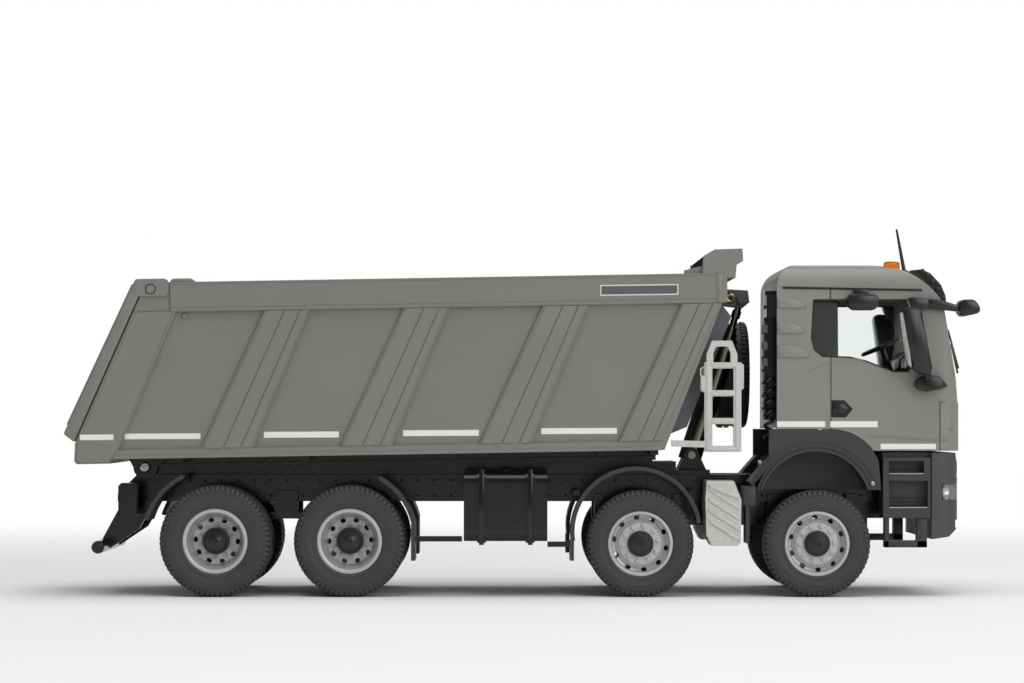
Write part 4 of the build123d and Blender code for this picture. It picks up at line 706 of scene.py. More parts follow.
# Where the wheels stopped, in degrees
STOPPED_AT = {"axle_1": 3.5, "axle_2": 8.1, "axle_3": 20.0, "axle_4": 15.0}


def add_hub(mesh, place, cover, bolts, circle, height, radius, shoulder, top):
    add_turned(mesh, cover, place, 48)
    for turn in round_turns(bolts):
        bolt = place @ Matrix.Translation((circle * cos(turn), circle * sin(turn), height))
        add_turned(mesh, [(0, -0.1), (radius, -0.1), (radius, shoulder), (0, top)], bolt, 6)


for axle in WHEEL_X:
    for side_name, hand in HANDS:
        place = wheel_place(axle, hand) @ Matrix.Rotation(radians(STOPPED_AT[axle]), 4, "Z")
        body = f"wheel_{axle}_{side_name}"
        if axle in TWIN_AXLES:
            mesh = rear_blank.copy()
            add_nuts(mesh, 3.36, -4.98, 0)
        else:
            mesh = front_blank.copy()
            add_lobed_boss(mesh, 3.08, 3.5, 0.6, -1.8, -1.42)
            add_nuts(mesh, 3.5, -1.42, 0.46)
        mesh.transform(place)
        piece = dressed(f"painted_rim_{axle}_{side_name}", mesh, SILVER_FINE, body)
        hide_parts(f"rim_{axle}_{side_name}")
        mesh = bmesh.new()
        add_hub(mesh, place, *(REAR_COVER if axle in TWIN_AXLES else FRONT_COVER))
        dressed(f"hub_{axle}_{side_name}", mesh, HUB_BLACK, body)
print("rims and hubs:", 2 * len(WHEEL_X), "each")

# %% [markdown]
# Reflective stripes and the blank plate
#
# The real vehicle carries reflective tape. On the model it is pad printed: a film of
# opaque white a few hundredths of a millimetre thick, dead flat and sharp at its edges.
# Each stripe is its own thin slab just proud of the face that it is printed on. The plate
# on the top rail keeps its printed white outline and stays blank.

# %% Stripes on the body and the cab
PANEL_Y, POST_Y, RAIL_FACE_Y, CAB_Y = 24.0, 24.8, 25.0, 22.4
POST_LAYER, FILM, LINE = 0.18, 0.05, 0.24
# Picture points. Columns: face; rear end, front end, height
BODY_STRIPES = [
    (POST_Y, (79.9, 434.6, 113.6, 434.4, 5.7)),
    (PANEL_Y, (124.6, 433.6, 200.5, 433.3, 5.8)),
    (PANEL_Y, (263.8, 431.8, 339.0, 431.4, 6.2)),
    (PANEL_Y, (403.0, 430.2, 478.9, 429.8, 6.1)),
    (PANEL_Y, (541.2, 428.2, 617.0, 427.8, 6.1)),
]
CAB_STRIPES = [
    (777.0, 421.2, 825.2, 421.2, 6.0), (830.2, 421.2, 877.6, 421.2, 6.2), (880.5, 443.7, 936.0, 443.7, 5.6),
]
BLANK_PLATE = (600.2, 285.0, 678.4, 284.0, 10.8)


def stripe_corners(stripe, depth):
    x_from, y_from, x_to, y_to, height = stripe
    return from_picture([(x_from, y_from), (x_to, y_to), (x_to, y_to + height), (x_from, y_from + height)], depth)


def frame_slabs(outer, inner, near, far):
    """Rows for a frame between two outlines, a slab for each side."""
    pairs = list(zip(outer, inner))
    return [((a, b, d, c), near, far) for (a, c), (b, d) in zip(pairs, pairs[1:] + pairs[:1])]


rows = []
for depth, stripe in BODY_STRIPES:
    rows.append((stripe_corners(stripe, depth), depth - 0.02, depth + FILM + (POST_LAYER if depth == POST_Y else 0)))
outer = stripe_corners(BLANK_PLATE, RAIL_FACE_Y)
inner = [(x + LINE * sx, z - LINE * sz) for (x, z), (sx, sz) in zip(outer, ((1, 1), (-1, 1), (-1, -1), (1, -1)))]
rows += frame_slabs(outer, inner, RAIL_FACE_Y - 0.02, RAIL_FACE_Y + FILM)
dressed("printed_stripes_body", slabs(*rows), WHITE_PRINT, "tipper")
dressed("blank_plate", slabs((inner, RAIL_FACE_Y - 0.02, RAIL_FACE_Y + 0.02)), DARK_GREY_ENAMEL_AND_SHADE, "tipper")
rows = [(stripe_corners(stripe, CAB_Y), CAB_Y - 0.02, CAB_Y + FILM) for stripe in CAB_STRIPES]
dressed("printed_stripes_cab", slabs(*rows), WHITE_PRINT)
print("stripes:", 2 * (len(BODY_STRIPES) + len(CAB_STRIPES)))

# %% [markdown]
# Small metal of the body
#
# The casting is held by hollow rivets, as die-cast models are: a brass one in the bracket
# of the cylinder's eye, steel ones in the tipping hinge. Along the foot of each stake the
# mould left a row of weld beads, which catch the light as bright dots. No two beads are
# alike, so their size and place wander a little, by a sine and not by chance.

# %% Rivets and weld beads
mesh = bmesh.new()
((x, z),) = from_picture([(730.5, 298.0)], 2.7)
ring = [(0.42, 0.0), (0.95, 0.0), (0.95, 0.22), (0.78, 0.4), (0.56, 0.36), (0.46, 0.1), (0.42, 0.0)]
add_turned_pair(mesh, ring, x, 2.62, z, 32)
dressed("hollow_rivets", mesh, BRASS, "tipper")

mesh = bmesh.new()
head = [(0, -0.2), (0.98, -0.2), (0.98, 0.1), (0.8, 0.28), (0.3, 0.3), (0.22, 0.2), (0, 0.2)]
add_turned_pair(mesh, head, -78.0, 11.9, 26.2, 32)
dressed("hinge_rivets", mesh, RIVET_STEEL)

STAKE_FEET = [(-65.3, 10.5), (-37.05, 10.5), (-8.8, 10.5), (19.45, 9.3)]
BEADS = 11
mesh = bmesh.new()
for foot, length in STAKE_FEET:
    for i in range(BEADS):
        x, z = raked(foot + length * (i + 0.5) / BEADS, 1.85 + 0.08 * sin(i * 2.4 + foot))
        size = 0.16 + 0.07 * sin(i * 1.7 + foot)
        bead = [(0, -size), (size * 0.8, -size * 0.5), (size, 0.0), (size * 0.7, size * 0.5), (0, size * 0.6)]
        add_turned_pair(mesh, bead, x, POST_Y, z, 8, (1.7, 1))
for u in (-54.9, -82.6):
    x, z = raked(u, 2.0)
    blob = [(0, -0.2), (0.3, -0.1), (0.36, 0.1), (0.2, 0.25), (0, 0.3)]
    add_turned_pair(mesh, blob, x, PANEL_Y, z, 10, (2.0, 0.8))
dressed("weld_beads", mesh, GREY_ENAMEL, "tipper", 60)
print("weld beads:", 2 * BEADS * len(STAKE_FEET))

# %% [markdown]
# Tailgate from behind
#
# The photo doesn't show the gate's outer face. Such gates are a plain sheet with a pressed
# frame and cross ribs, so it gets a raised border and four ribs of the same enamel.

# %% Tailgate ribs
REAR_FOOT_U, REAR_LEAN = -92.4, 0.4626
GATE_FOOT_FACE, GATE_FACE_SLOPE, RIB_H, RIB_W = -3.34, 0.0224, 0.35, 1.6


def rear_u(v):
    """The rear edge of the side walls at height v."""
    return REAR_FOOT_U + REAR_LEAN * v


def add_gate_rib(mesh, v_low, v_high, y_low, y_high):
    """A raised bar on the gate's outer face, between two heights and two widths."""
    outline = []
    for v, out in ((v_low, 0.1), (v_high, 0.1), (v_high - 0.2, -RIB_H), (v_low + 0.2, -RIB_H)):
        outline.append(raked(rear_u(v) + GATE_FOOT_FACE + GATE_FACE_SLOPE * v + out, v))
    add_drawn(mesh, *([(x, y, z) for x, z in outline] for y in (y_low, y_high)))


mesh = bmesh.new()
for v in (9.0, 16.5, 24.0, 31.5):
    add_gate_rib(mesh, v, v + RIB_W, -22.6, 22.6)
for y in (-24.2, 22.6):
    add_gate_rib(mesh, 7.0, 35.6, y, y + RIB_W)
dressed("gate_ribs", mesh, GREY_ENAMEL, "tailgate")
print("gate ribs: 4 across, 2 upright")

# %% [markdown]
# The cab
#
# The cab's form is where three outlines meet: its side, its plan and its front, each moved
# in by t for the inner face. Boolean modifiers make it, open its windows and cut its seams,
# and a second, thinner pair of the same forms gives the windows. Lofting it from sections
# would need many more of them to get the same crisp corner at the roof.

# %% Cab form
CAB_T, CAB_LEAN, CROWN = 1.0, 1.0, 1.2
CAB_REAR, CAB_FRONT = 51.6, 89.2
CAB_FOOT, CAB_SILL, CAB_WAIST, CAB_SHOULDER, CAB_ROOF = 29.7, 34.3, 47.0, 63.5, 68.3
CORNER_Y, ROOF_Y, ROOF_EDGE_Z = 17.0, 17.6, 67.3


def left_half(plan):
    """The left half of a plan drawn from the rear right corner to the front."""
    return [(x, -y) for x, y in reversed(plan)]


def cab_form(t):
    """The cab's closed form as a scratch solid, with every face moved in by t."""
    top, nose, front = CAB_ROOF - 0.3 - t, CAB_FRONT + CROWN - t, CAB_FRONT - t
    side = [(CAB_REAR + t, CAB_FOOT + t)]
    side += arc_points((CAB_REAR + 0.1 + t, 63.2), (52.8 + 0.7 * t, 66.2 - 0.7 * t), (56.0, top), 8)
    side += arc_points((71.0, top), (79.35 - 0.48 * t, 65.82 - 0.88 * t), (85.7 - t, 60.0), 12)
    side += [(87.0 - t, 52.3), (88.5 - t, 44.2), (88.9 - t, 39.7), (nose, 38.9), (nose, CAB_FOOT + t)]
    turn_in, turn_out = (CAB_FRONT - 4.4, t - CAB_Y), (CAB_FRONT - 1.1 - 0.7 * t, 1.5 + 0.7 * t - CAB_Y)
    bend = arc_points(turn_in, turn_out, (front, -CORNER_Y), 6)
    crown = arc_points((front, -CORNER_Y), (nose, 0), (front, CORNER_Y), 12)
    plan = [(CAB_REAR - 1, t - CAB_Y)] + bend
    plan += crown[1:-1] + left_half(plan)
    shoulder = (CAB_Y - CAB_LEAN - t, CAB_SHOULDER)
    edge = arc_points(shoulder, (20.3 - 0.7 * t, 66.1 - 0.7 * t), (ROOF_Y, ROOF_EDGE_Z - t), 6)
    roof = arc_points((ROOF_Y, ROOF_EDGE_Z - t), (0, CAB_ROOF - t), (-ROOF_Y, ROOF_EDGE_Z - t), 8)
    half = [(CAB_Y - t, CAB_FOOT - 1), (CAB_Y - t, CAB_WAIST)] + edge
    face = half + roof[1:-1] + [(-y, z) for y, z in reversed(half)]
    cutters = [prism(plan, CAB_FOOT - 1, CAB_ROOF + 1, "Z"), prism(face, CAB_REAR - 1, CAB_FRONT + 3, "X")]
    return solid(combined(prism(side, -CAB_Y - 1, CAB_Y + 1, "Y"), ("INTERSECT", cutters)))


def moved(thing, x):
    """A scratch solid shifted forward."""
    thing.location.x = x
    return thing


print("cab:", round(CAB_FRONT + CROWN - CAB_REAR, 1), "mm long,", 2 * CAB_Y, "mm wide")

# %% [markdown]
# Cutting the cab
#
# The shell loses its inside, its windows, the arch's zone, the space under the floor, and
# seams 0.3 mm deep where the door and the corner panel meet the body. On the die-cast
# model these seams are engraved in the mould, so they have straight walls and no gap.

# %% Cab shell, rear wall and windows
WALL_EDGE, WALL_T = 0.12, 1.5
SIDE_WINDOW = [
    (59.2, 60.6), (58.7, 52.6), (59.3, 50.2), (61.0, 48.8), (66.4, 48.6), (69.7, 47.8),
    (75.6, 45.7), (78.6, 45.7), (79.6, 47.2), (80.7, 51.6), (80.5, 60.6),
]
WINDSCREEN = [(-19.4, 46.2), (19.4, 46.2), (18.6, 62.4), (-18.6, 62.4)]
ARCH_X, ARCH_Z, ARCH_R, ARCH_REAR, ARCH_LOW = 59.55, 18.4, 11.2, 50.2, 21.7
DOOR_SEAM, CORNER_SEAM, GUTTER_Z, SEAM_W, SEAM_DEPTH = 62.6, 84.8, 62.7, 0.28, 0.3
HANDLE = [(62.9, 40.0), (65.5, 40.0), (67.2, 38.2), (65.8, 36.5), (62.9, 36.5)]
# Columns: rear and front edge, low and high edge, the cab's lean there
SEAMS = [
    (DOOR_SEAM, DOOR_SEAM + SEAM_W, CAB_FOOT, 48.9, 0),
    (DOOR_SEAM, DOOR_SEAM + SEAM_W, 60.4, GUTTER_Z, CAB_LEAN),
    (CORNER_SEAM, CORNER_SEAM + SEAM_W, CAB_FOOT - 1, 39.7, 0),
    (CORNER_SEAM, CAB_FRONT, 39.5, 39.7, 0),
]
PANEL_X, PANEL_Z = (58.2, 64.4), (47.4, 61.2)


def arch_region(grow):
    """The outline of the black wheel arch under the sill, its top edge moved out."""
    top = CAB_SILL - 0.3 + grow
    bend = arc_points((62.6, top), (68.6 + grow * 0.5, 32.3 + grow * 0.85), (72.5 + grow, CAB_FOOT - 2), 10)
    return [(ARCH_REAR, CAB_FOOT - 2), (ARCH_REAR, top)] + bend


def outset(outline, grow):
    """A window's outline moved out from its middle."""
    mid_a, mid_b = (sum(values) / len(outline) for values in zip(*outline))
    return [(a + (grow if a > mid_a else -grow), b + (grow if b > mid_b else -grow)) for a, b in outline]


def window_zones(grow):
    """The window openings as prisms through the cab."""
    side = prism(outset(SIDE_WINDOW, grow), -CAB_Y - 2, CAB_Y + 2, "Y")
    return side, prism(outset(WINDSCREEN, grow), CAB_FRONT - 5.5, CAB_FRONT + 5, "X")


cuts = [cab_form(CAB_T), *window_zones(0), prism(arch_region(0.1), -CAB_Y - 1, CAB_Y + 1, "Y")]
cuts.append(block((CAB_REAR - 1, CAB_FRONT - 3), (CAB_T - CAB_Y, CAB_Y - CAB_T), (CAB_FOOT - 3, CAB_SILL)))
for x_rear, x_front, z_low, z_high, lean in SEAMS:
    cuts += side_blocks((x_rear, x_front), (CAB_Y - SEAM_DEPTH - lean, CAB_Y + 1), (z_low, z_high))
cuts += [prism(HANDLE, hand * (CAB_Y - 0.5), hand * (CAB_Y + 1), "Y") for hand in SIDES]
floor_pan = block((CAB_REAR + 1.2, CAB_FRONT - 1.6), (0.5 - CAB_Y, CAB_Y - 0.5), (CAB_SILL, CAB_SILL + 0.9))
steps = ("INTERSECT", [moved(cab_form(0), WALL_EDGE)]), ("DIFFERENCE", cuts), ("UNION", [floor_pan])
piece = dressed("enamelled_cab", combined(cab_form(0), *steps), CAB_ENAMEL_PAINTED_LIGHTER, smooth_deg=30)
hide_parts("cab_shell")

wall_zone = block((CAB_REAR - 3, 56.0), (-CAB_Y - 1, CAB_Y + 1), (CAB_SILL, CAB_ROOF + 1))
steps = ("DIFFERENCE", [moved(cab_form(0), WALL_EDGE - 0.03)]), ("INTERSECT", [wall_zone])
dressed("cab_rear_wall", combined(moved(cab_form(0.12), -WALL_T), *steps), GLOSS_PLASTIC, smooth_deg=30)

side_zone, screen_zone = window_zones(0.6)
openings = solid(combined(side_zone, ("UNION", [screen_zone])))
mesh = combined(cab_form(1.05), ("DIFFERENCE", [cab_form(1.5)]), ("INTERSECT", [openings]))
piece = dressed("styrene_windows", mesh, WINDOW, smooth_deg=30)
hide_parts("cab_glass")

panel_zone = block(PANEL_X, (-CAB_Y, CAB_Y), PANEL_Z)
mesh = combined(cab_form(1.6), ("DIFFERENCE", [cab_form(2.2)]), ("INTERSECT", [panel_zone]))
dressed("rear_window_panels", mesh, GLOSS_PLASTIC, smooth_deg=30)
print("cab pieces made, dark panel from", PANEL_X)

# %% [markdown]
# Relief on the cab
#
# What the photograph shows on the cab's side is shallow: three pressed ridges behind the
# door, a swage at the corner, the rain gutter over the doors, the handle in its recess and
# the window's black rubber. Each is a slab that follows the side's lean.


# %% Ridges, gutter and handles
def on_cab(rise):
    """The depth of a face that stands that far off the cab's side, at any height."""
    return lambda z: CAB_Y - CAB_LEAN * max(0.0, z - CAB_WAIST) / (CAB_SHOULDER - CAB_WAIST) + rise


# Picture points of the three pressed ridges: upper edge, tip, lower edge
RIDGES = [
    [(777.5, 297.2), (794, 298), (801, 301), (806.5, 306.7), (800, 308.2), (777.5, 308.2)],
    [(777.5, 322.2), (793, 322.6), (800, 326), (805, 332), (799, 333.6), (777.5, 333.6)],
    [(777.5, 345.2), (797, 346), (805, 350), (810.6, 356.3), (803, 358), (777.5, 357.6)],
]
SWAGE = [(868, 435.0), (937, 439.5), (948, 439.2), (948, 440.4), (937, 440.9), (868, 436.6)]
SILL_LINE = [
    (805, 372), (838.7, 357.3), (858.5, 358.8), (894.4, 373.4), (894.4, 374.6), (858.5, 360.2), (838.7, 358.7),
    (805, 373.4),
]
rows = [(from_picture(ridge, CAB_Y), on_cab(-0.5), on_cab(0.32), SIDES, 0.22) for ridge in RIDGES]
rows.append((from_picture(SWAGE, CAB_Y), CAB_Y - 0.3, CAB_Y + 0.1))
rows.append((from_picture(SILL_LINE, CAB_Y), on_cab(-0.3), on_cab(0.07)))
dressed("cab_ridges", slabs(*rows), CAB_ENAMEL_PAINTED_LIGHTER, smooth_deg=60)

gutter = [(53.0, GUTTER_Z + 0.5), (81.4, GUTTER_Z), (81.4, GUTTER_Z - 0.42), (53.0, GUTTER_Z + 0.05)]
grip = [(63.1, 39.3), (65.3, 39.3), (66.5, 38.2), (65.7, 37.4), (63.1, 37.4)]
rows = [(gutter, on_cab(-0.6), on_cab(0.16)), (outset(HANDLE, -0.02), CAB_Y - 0.9, CAB_Y - 0.42)]
rows.append((grip, CAB_Y - 0.5, CAB_Y - 0.02, SIDES, 0.12))
rows += frame_slabs(SIDE_WINDOW, outset(SIDE_WINDOW, -0.32), on_cab(-0.7), on_cab(-0.12))
dressed("cab_gutter_and_handles", slabs(*rows), GLOSS_PLASTIC, smooth_deg=40)
print("cab relief: ridges", len(RIDGES))

# %% [markdown]
# Black plastic wheel arches
#
# Arches and steps are one colour of satin black plastic, the bumper a lighter copy of it:
# painted sheen. The arch is a skin under the sill with a roof over the tyre, a tail behind
# it and three fine lips that follow the wheel. It is cut free round the wheel by booleans;
# the lips are slabs laid on its face.

# %% Wheel arches
WELL = arc_points((ARCH_X + ARCH_R, ARCH_Z), (ARCH_X, ARCH_Z + ARCH_R), (ARCH_X - ARCH_R, ARCH_Z), 32)
WELL = [(ARCH_X + ARCH_R, 8)] + WELL + [(ARCH_X - ARCH_R, 8)]
LEG = [(52.0, 18.4), (ARCH_REAR, CAB_FOOT - 2), (72.5, CAB_FOOT - 2), (73.0, ARCH_LOW)]
TAIL = [(46.0, 23.4), (50.4, 28.4), (51.2, 27.6), (46.8, 22.6)]
# Columns: inner and outer distance from the wheel well's edge, height over the arch's face
LIPS = [(0, 0.45, 0.34), (0.9, 1.15, 0.2), (1.9, 2.15, 0.2)]


def arch_arc(r, low=ARCH_LOW, steps=32):
    """Points round the wheel from front to rear, cut off level at the foot."""
    span = atan2(low - ARCH_Z, (r**2 - (low - ARCH_Z) ** 2) ** 0.5)
    turns = [span + (pi - 2 * span) * i / steps for i in range(steps + 1)]
    return [(ARCH_X + r * cos(t), ARCH_Z + r * sin(t)) for t in turns]


def arch_band(r_in, r_out, low=ARCH_LOW):
    return arch_arc(r_out, low) + arch_arc(r_in, low)[::-1]


halves = []
for hand in SIDES:
    skin, leg = (prism(shape, hand * (CAB_Y - 1.2), hand * CAB_Y, "Y") for shape in (arch_region(0), LEG))
    shapes = (arch_band(ARCH_R - 0.4, ARCH_R + 1.0), TAIL)
    roof, tail = (prism(shape, hand * 14.0, hand * (CAB_Y - 0.1), "Y") for shape in shapes)
    well = prism(WELL, hand * 13.9, hand * (CAB_Y + 1), "Y")
    low = side_block(hand, (40, 73.2), (13, CAB_Y + 1), (10, ARCH_LOW))
    halves.append(solid(combined(skin, ("UNION", [leg, roof, tail]), ("DIFFERENCE", [well, low]))))
mesh = gather(bmesh.new(), halves)
for r_in, r_out, rise in LIPS:
    add_slab(mesh, arch_band(ARCH_R + r_in, ARCH_R + r_out, ARCH_LOW + 0.1), CAB_Y - 0.3, CAB_Y + rise)
# The inner wall that closes the well
add_slab(mesh, arch_arc(ARCH_R + 0.9), 13.4, 14.0)
piece = dressed("plastic_wheel_arches", mesh, BLACK_PLASTIC, smooth_deg=30)
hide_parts("wheel_arches")

mesh = bmesh.new()
add_turned_pair(mesh, [(0, -0.2), (0.46, -0.2), (0.46, 0.2), (0.3, 0.34), (0, 0.36)], 71.3, CAB_Y, 23.05, 16)
dressed("arch_bolts", mesh, RIVET_STEEL)
print("arch lips:", len(LIPS))

# %% [markdown]
# Steps
#
# Each side has a moulded box with two recesses, in which the treads lie, and a step that
# hangs under it on two legs. Where boots would rub, the edges are painted bright.

# %% Steps
STEP_X, STEP_Z, STEP_Y = (73.4, 83.1), (16.0, 28.3), 14.5
# Columns: front edge, low and high edge of each recess
RECESSES = [(STEP_X[1] - 1.4, 25.2, 27.6), (STEP_X[1] - 0.6, 18.3, 23.6)]
# Columns: rear and front edge, top edge of the hanging step's legs and tread
HANGERS = [(73.7, 74.7, 16.0), (80.3, 82.4, 16.0), (73.7, 82.4, 11.4)]
TREAD_Z = (18.5, 19.3, 20.1, 25.3, 25.9)
halves = []
for hand in SIDES:
    body = side_block(hand, STEP_X, (STEP_Y, CAB_Y), STEP_Z)
    upper_x, upper_z = (STEP_X[0], STEP_X[1] + 4.0), (STEP_Z[1] - 0.1, CAB_FOOT - 0.3)
    upper = side_block(hand, upper_x, (STEP_Y, CAB_Y - 1.5), upper_z)
    rooms = [side_block(hand, (STEP_X[0] + 1.2, x), (CAB_Y - 2.6, CAB_Y + 1), z) for x, *z in RECESSES]
    halves.append(solid(combined(body, ("UNION", [upper]), ("DIFFERENCE", rooms))))
mesh = gather(bmesh.new(), halves)
for x_rear, x_front, z_high in HANGERS:
    add_slab(mesh, rectangle(x_rear, x_front, 10.0, z_high), CAB_Y - 3.0, CAB_Y - 0.4, SIDES, 0.12)
for z in TREAD_Z:
    add_slab(mesh, rectangle(74.7, 81.6, z, z + 0.3), CAB_Y - 2.7, CAB_Y - 2.3)
piece = dressed("plastic_steps", mesh, BLACK_PLASTIC, smooth_deg=30)
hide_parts("cab_steps")

edges = [(rectangle(74.7, x, z - 0.08, z + 0.12), CAB_Y - 0.2, CAB_Y + 0.03) for x, z in ((81.6, 25.05), (82.4, 18.15))]
dressed("worn_step_edges", slabs(*edges), RIVET_STEEL)
print("treads:", len(TREAD_Z))

# %% [markdown]
# Bumper and lamps
#
# The bumper is one moulding, drawn along the truck and trimmed to a rounded plan. Clear
# headlamps wrap round its corners: the room for each is cut out, and the lens is the same
# form once more, a hair smaller. Bright bowls behind the lens give the lamp its depth.

# %% Bumper, headlamps and fog lamps
LAMP_Z, LENS_GAP = (19.7, 22.9), 0.1
FACE = [
    (83.3, 11.7), (86.8, 12.2), (88.6, 13.8), (89.6, 17.2), (89.2, 19.7), (89.6, 23.1), (88.7, 24.6),
    (89.0, 26.8), (88.5, 28.2), (88.4, 29.3), (83.3, 29.3),
]
BUMPER_Y, FACE_X, FACE_Y = 22.5, 88.9, 18.0
BUMPER_CORNER = [(80, -BUMPER_Y)] + arc_points((85.2, -BUMPER_Y), (88.0, -21.1), (FACE_X, -FACE_Y), 8)
BUMPER_PLAN = BUMPER_CORNER + arc_points((FACE_X, -FACE_Y), (90.0, 0), (FACE_X, FACE_Y), 12)[1:-1]
BUMPER_PLAN += left_half(BUMPER_CORNER)


def bumper_form():
    trim = prism(BUMPER_PLAN, 0, 40, "Z")
    return solid(combined(prism(FACE, -BUMPER_Y, BUMPER_Y, "Y"), ("INTERSECT", [trim])))


rooms = side_blocks((85.4, 92), (13.5, 23.5), LAMP_Z) + side_blocks((87.0, 92), (15.5, 20.6), (14.0, 15.6))
mesh = combined(bumper_form(), ("DIFFERENCE", rooms))
piece = dressed("plastic_bumper", mesh, BUMPER_PLASTIC_PAINTED_SHEEN, smooth_deg=30)
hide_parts("bumper")

right, left = side_blocks((85.6, 92), (13.7, 23.3), (LAMP_Z[0] + LENS_GAP, LAMP_Z[1] - LENS_GAP))
both_lenses = solid(combined(right, ("UNION", [left])))
dressed("headlamp_lenses", combined(bumper_form(), ("INTERSECT", [both_lenses])), LENS, smooth_deg=30)

BOWL = [(0, -0.9), (0.7, -0.8), (1.2, -0.3), (1.36, 0.0), (1.5, 0.0), (1.5, -0.9)]
FOG_LAMP = [(0, -0.9), (0.75, -0.9), (0.75, 0.0), (0.5, 0.15), (0, 0.2)]
bowls, fog_lamps = bmesh.new(), bmesh.new()
for hand in SIDES:
    for x, y in ((86.4, 20.6), (87.0, 17.0)):
        add_turned(bowls, BOWL, facing(x, hand * y, 21.3, (1, hand * 0.35, 0)), 24)
    add_turned(fog_lamps, FOG_LAMP, facing(88.1, hand * 18.1, 14.8, (1, hand * 0.1, 0)), 20)
dressed("headlamp_reflectors", bowls, RIVET_STEEL)
dressed("fog_lamps", fog_lamps, LENS)
print("bumper:", 2 * BUMPER_Y, "mm wide")

# %% [markdown]
# Visor, mirrors, beacons, antenna and wiper pivots
#
# They are clipped on, and glossier than the arches. Their outlines are read off the
# photograph; the right side carries a kerb mirror over the door and a front mirror.

# %% Parts clipped on the cab
VISOR = [
    (79.4, 65.5), (79.4, 66.6), (81.6, 66.8), (83.4, 66.0), (85.6, 63.6), (86.5, 61.4), (86.7, 59.6), (85.4, 59.6),
]
VISOR_Y, VISOR_CLIPS = 19.4, 5
CLIP = [(-0.9, -0.3), (-0.1, 0.25), (0.35, -0.2), (-0.4, -0.8)]
mesh = combined(prism(VISOR, -VISOR_Y, VISOR_Y, "Y"), ("DIFFERENCE", [cab_form(0.05)]))
for i in range(VISOR_CLIPS):
    share = i / (VISOR_CLIPS - 1)
    clip = [(81.9 + 4.2 * share + x, 66.75 - 5.6 * share**1.35 + z) for x, z in CLIP]
    add_slab(mesh, clip, VISOR_Y - 0.3, VISOR_Y + 0.5, SIDES, 0.12)
piece = dressed("gloss_visor", mesh, GLOSS_PLASTIC, smooth_deg=30)
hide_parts("sun_visor")

# Columns: side outline, inner and outer distance from the middle, sides, edge rounding
MAIN_MIRROR = [
    (76.6, 58.2), (77.4, 58.9), (79.8, 58.7), (80.6, 58.0), (81.7, 52.0), (82.8, 46.4), (82.4, 45.1),
    (80.8, 45.2), (78.9, 46.2), (77.8, 52.0),
]
UPPER_ARM = [(78.2, 60.6), (79.0, 61.0), (82.4, 60.6), (82.6, 58.5), (80.2, 58.4), (78.8, 58.9)]
LOWER_MIRROR = [
    (79.6, 43.6), (80.4, 44.6), (82.6, 45.2), (84.8, 44.8), (86.4, 42.8), (84.4, 42.2), (82.0, 41.7), (80.0, 42.3),
]
FRONT_ARM = [(80.4, 60.9), (85.2, 60.4), (89.0, 59.2), (89.0, 58.0), (85.2, 58.4), (80.4, 58.9)]
FRONT_MIRROR = [
    (88.8, 59.8), (89.4, 60.5), (91.8, 60.5), (92.8, 59.4), (93.1, 58.2), (92.5, 57.6), (89.6, 57.0), (88.8, 57.8),
]
KERB_MIRROR = [
    (65.9, 61.0), (66.6, 61.6), (71.5, 61.6), (72.2, 61.0), (72.2, 59.3), (71.4, 58.3), (66.9, 58.3), (65.9, 59.3),
]
KERB_FOOT = [(67.4, 61.4), (70.4, 61.4), (70.4, 62.5), (67.4, 62.5)]
UPPER_STAY = [(79.0, 59.2), (80.4, 59.2), (80.4, 57.6), (79.0, 57.6)]
LOWER_STAY = [(81.4, 45.6), (82.6, 45.6), (83.0, 44.0), (81.8, 44.0)]
MIRRORS = [
    (MAIN_MIRROR, CAB_Y + 1.4, CAB_Y + 5.6, SIDES, 0.5),
    (UPPER_ARM, CAB_Y - 0.8, CAB_Y + 2.4, SIDES, 0.3),
    (LOWER_MIRROR, CAB_Y - 0.8, CAB_Y + 2.6, SIDES, 0.3),
    (FRONT_ARM, CAB_Y - 1.4, CAB_Y + 0.8, (-1,), 0.25),
    (FRONT_MIRROR, CAB_Y - 5.0, CAB_Y + 1.6, (-1,), 0.5),
    (KERB_MIRROR, CAB_Y - 1.2, CAB_Y + 3.2, (-1,), 0.5),
    (KERB_FOOT, CAB_Y - 1.2, CAB_Y + 0.8, (-1,), 0.2),
    (UPPER_STAY, CAB_Y - 0.6, CAB_Y + 3.0),
    (LOWER_STAY, CAB_Y + 1.0, CAB_Y + 3.4),
]
MIRROR_GLASS = [(76.55, 57.6), (77.3, 58.3), (78.6, 46.6), (77.9, 47.2)]
piece = dressed("gloss_mirrors", slabs(*MIRRORS), GLOSS_PLASTIC, smooth_deg=40)
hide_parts("mirrors")
dressed("mirror_glasses", slabs((MIRROR_GLASS, CAB_Y + 1.7, CAB_Y + 5.3)), RIVET_STEEL)

BEACON_X, BEACON_Y = 75.9, 15.5
# The lens has fine rings: every second point of its wall lies inward
BEACON = [(0, 66.0), (1.7, 66.0), (1.7, 66.9)]
BEACON += [(1.62 if i % 2 else 1.74, 66.9 + 0.11 * i) for i in range(8)]
BEACON += [(1.72, 67.9), (1.66, 68.2), (1.4, 68.44), (0.9, 68.54), (0, 68.56)]
BEACON_FOOT = [(0, 65.6), (1.9, 65.6), (1.9, 66.35), (1.5, 66.4), (0, 66.4)]
lights, feet = bmesh.new(), bmesh.new()
for hand in SIDES:
    place = Matrix.Translation((BEACON_X, hand * BEACON_Y, 0))
    add_turned(lights, BEACON, place, 36)
    add_turned(feet, BEACON_FOOT, place, 24)
piece = dressed("amber_beacons", lights, AMBER, smooth_deg=30)
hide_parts("beacons")
dressed("beacon_feet", feet, GLOSS_PLASTIC)

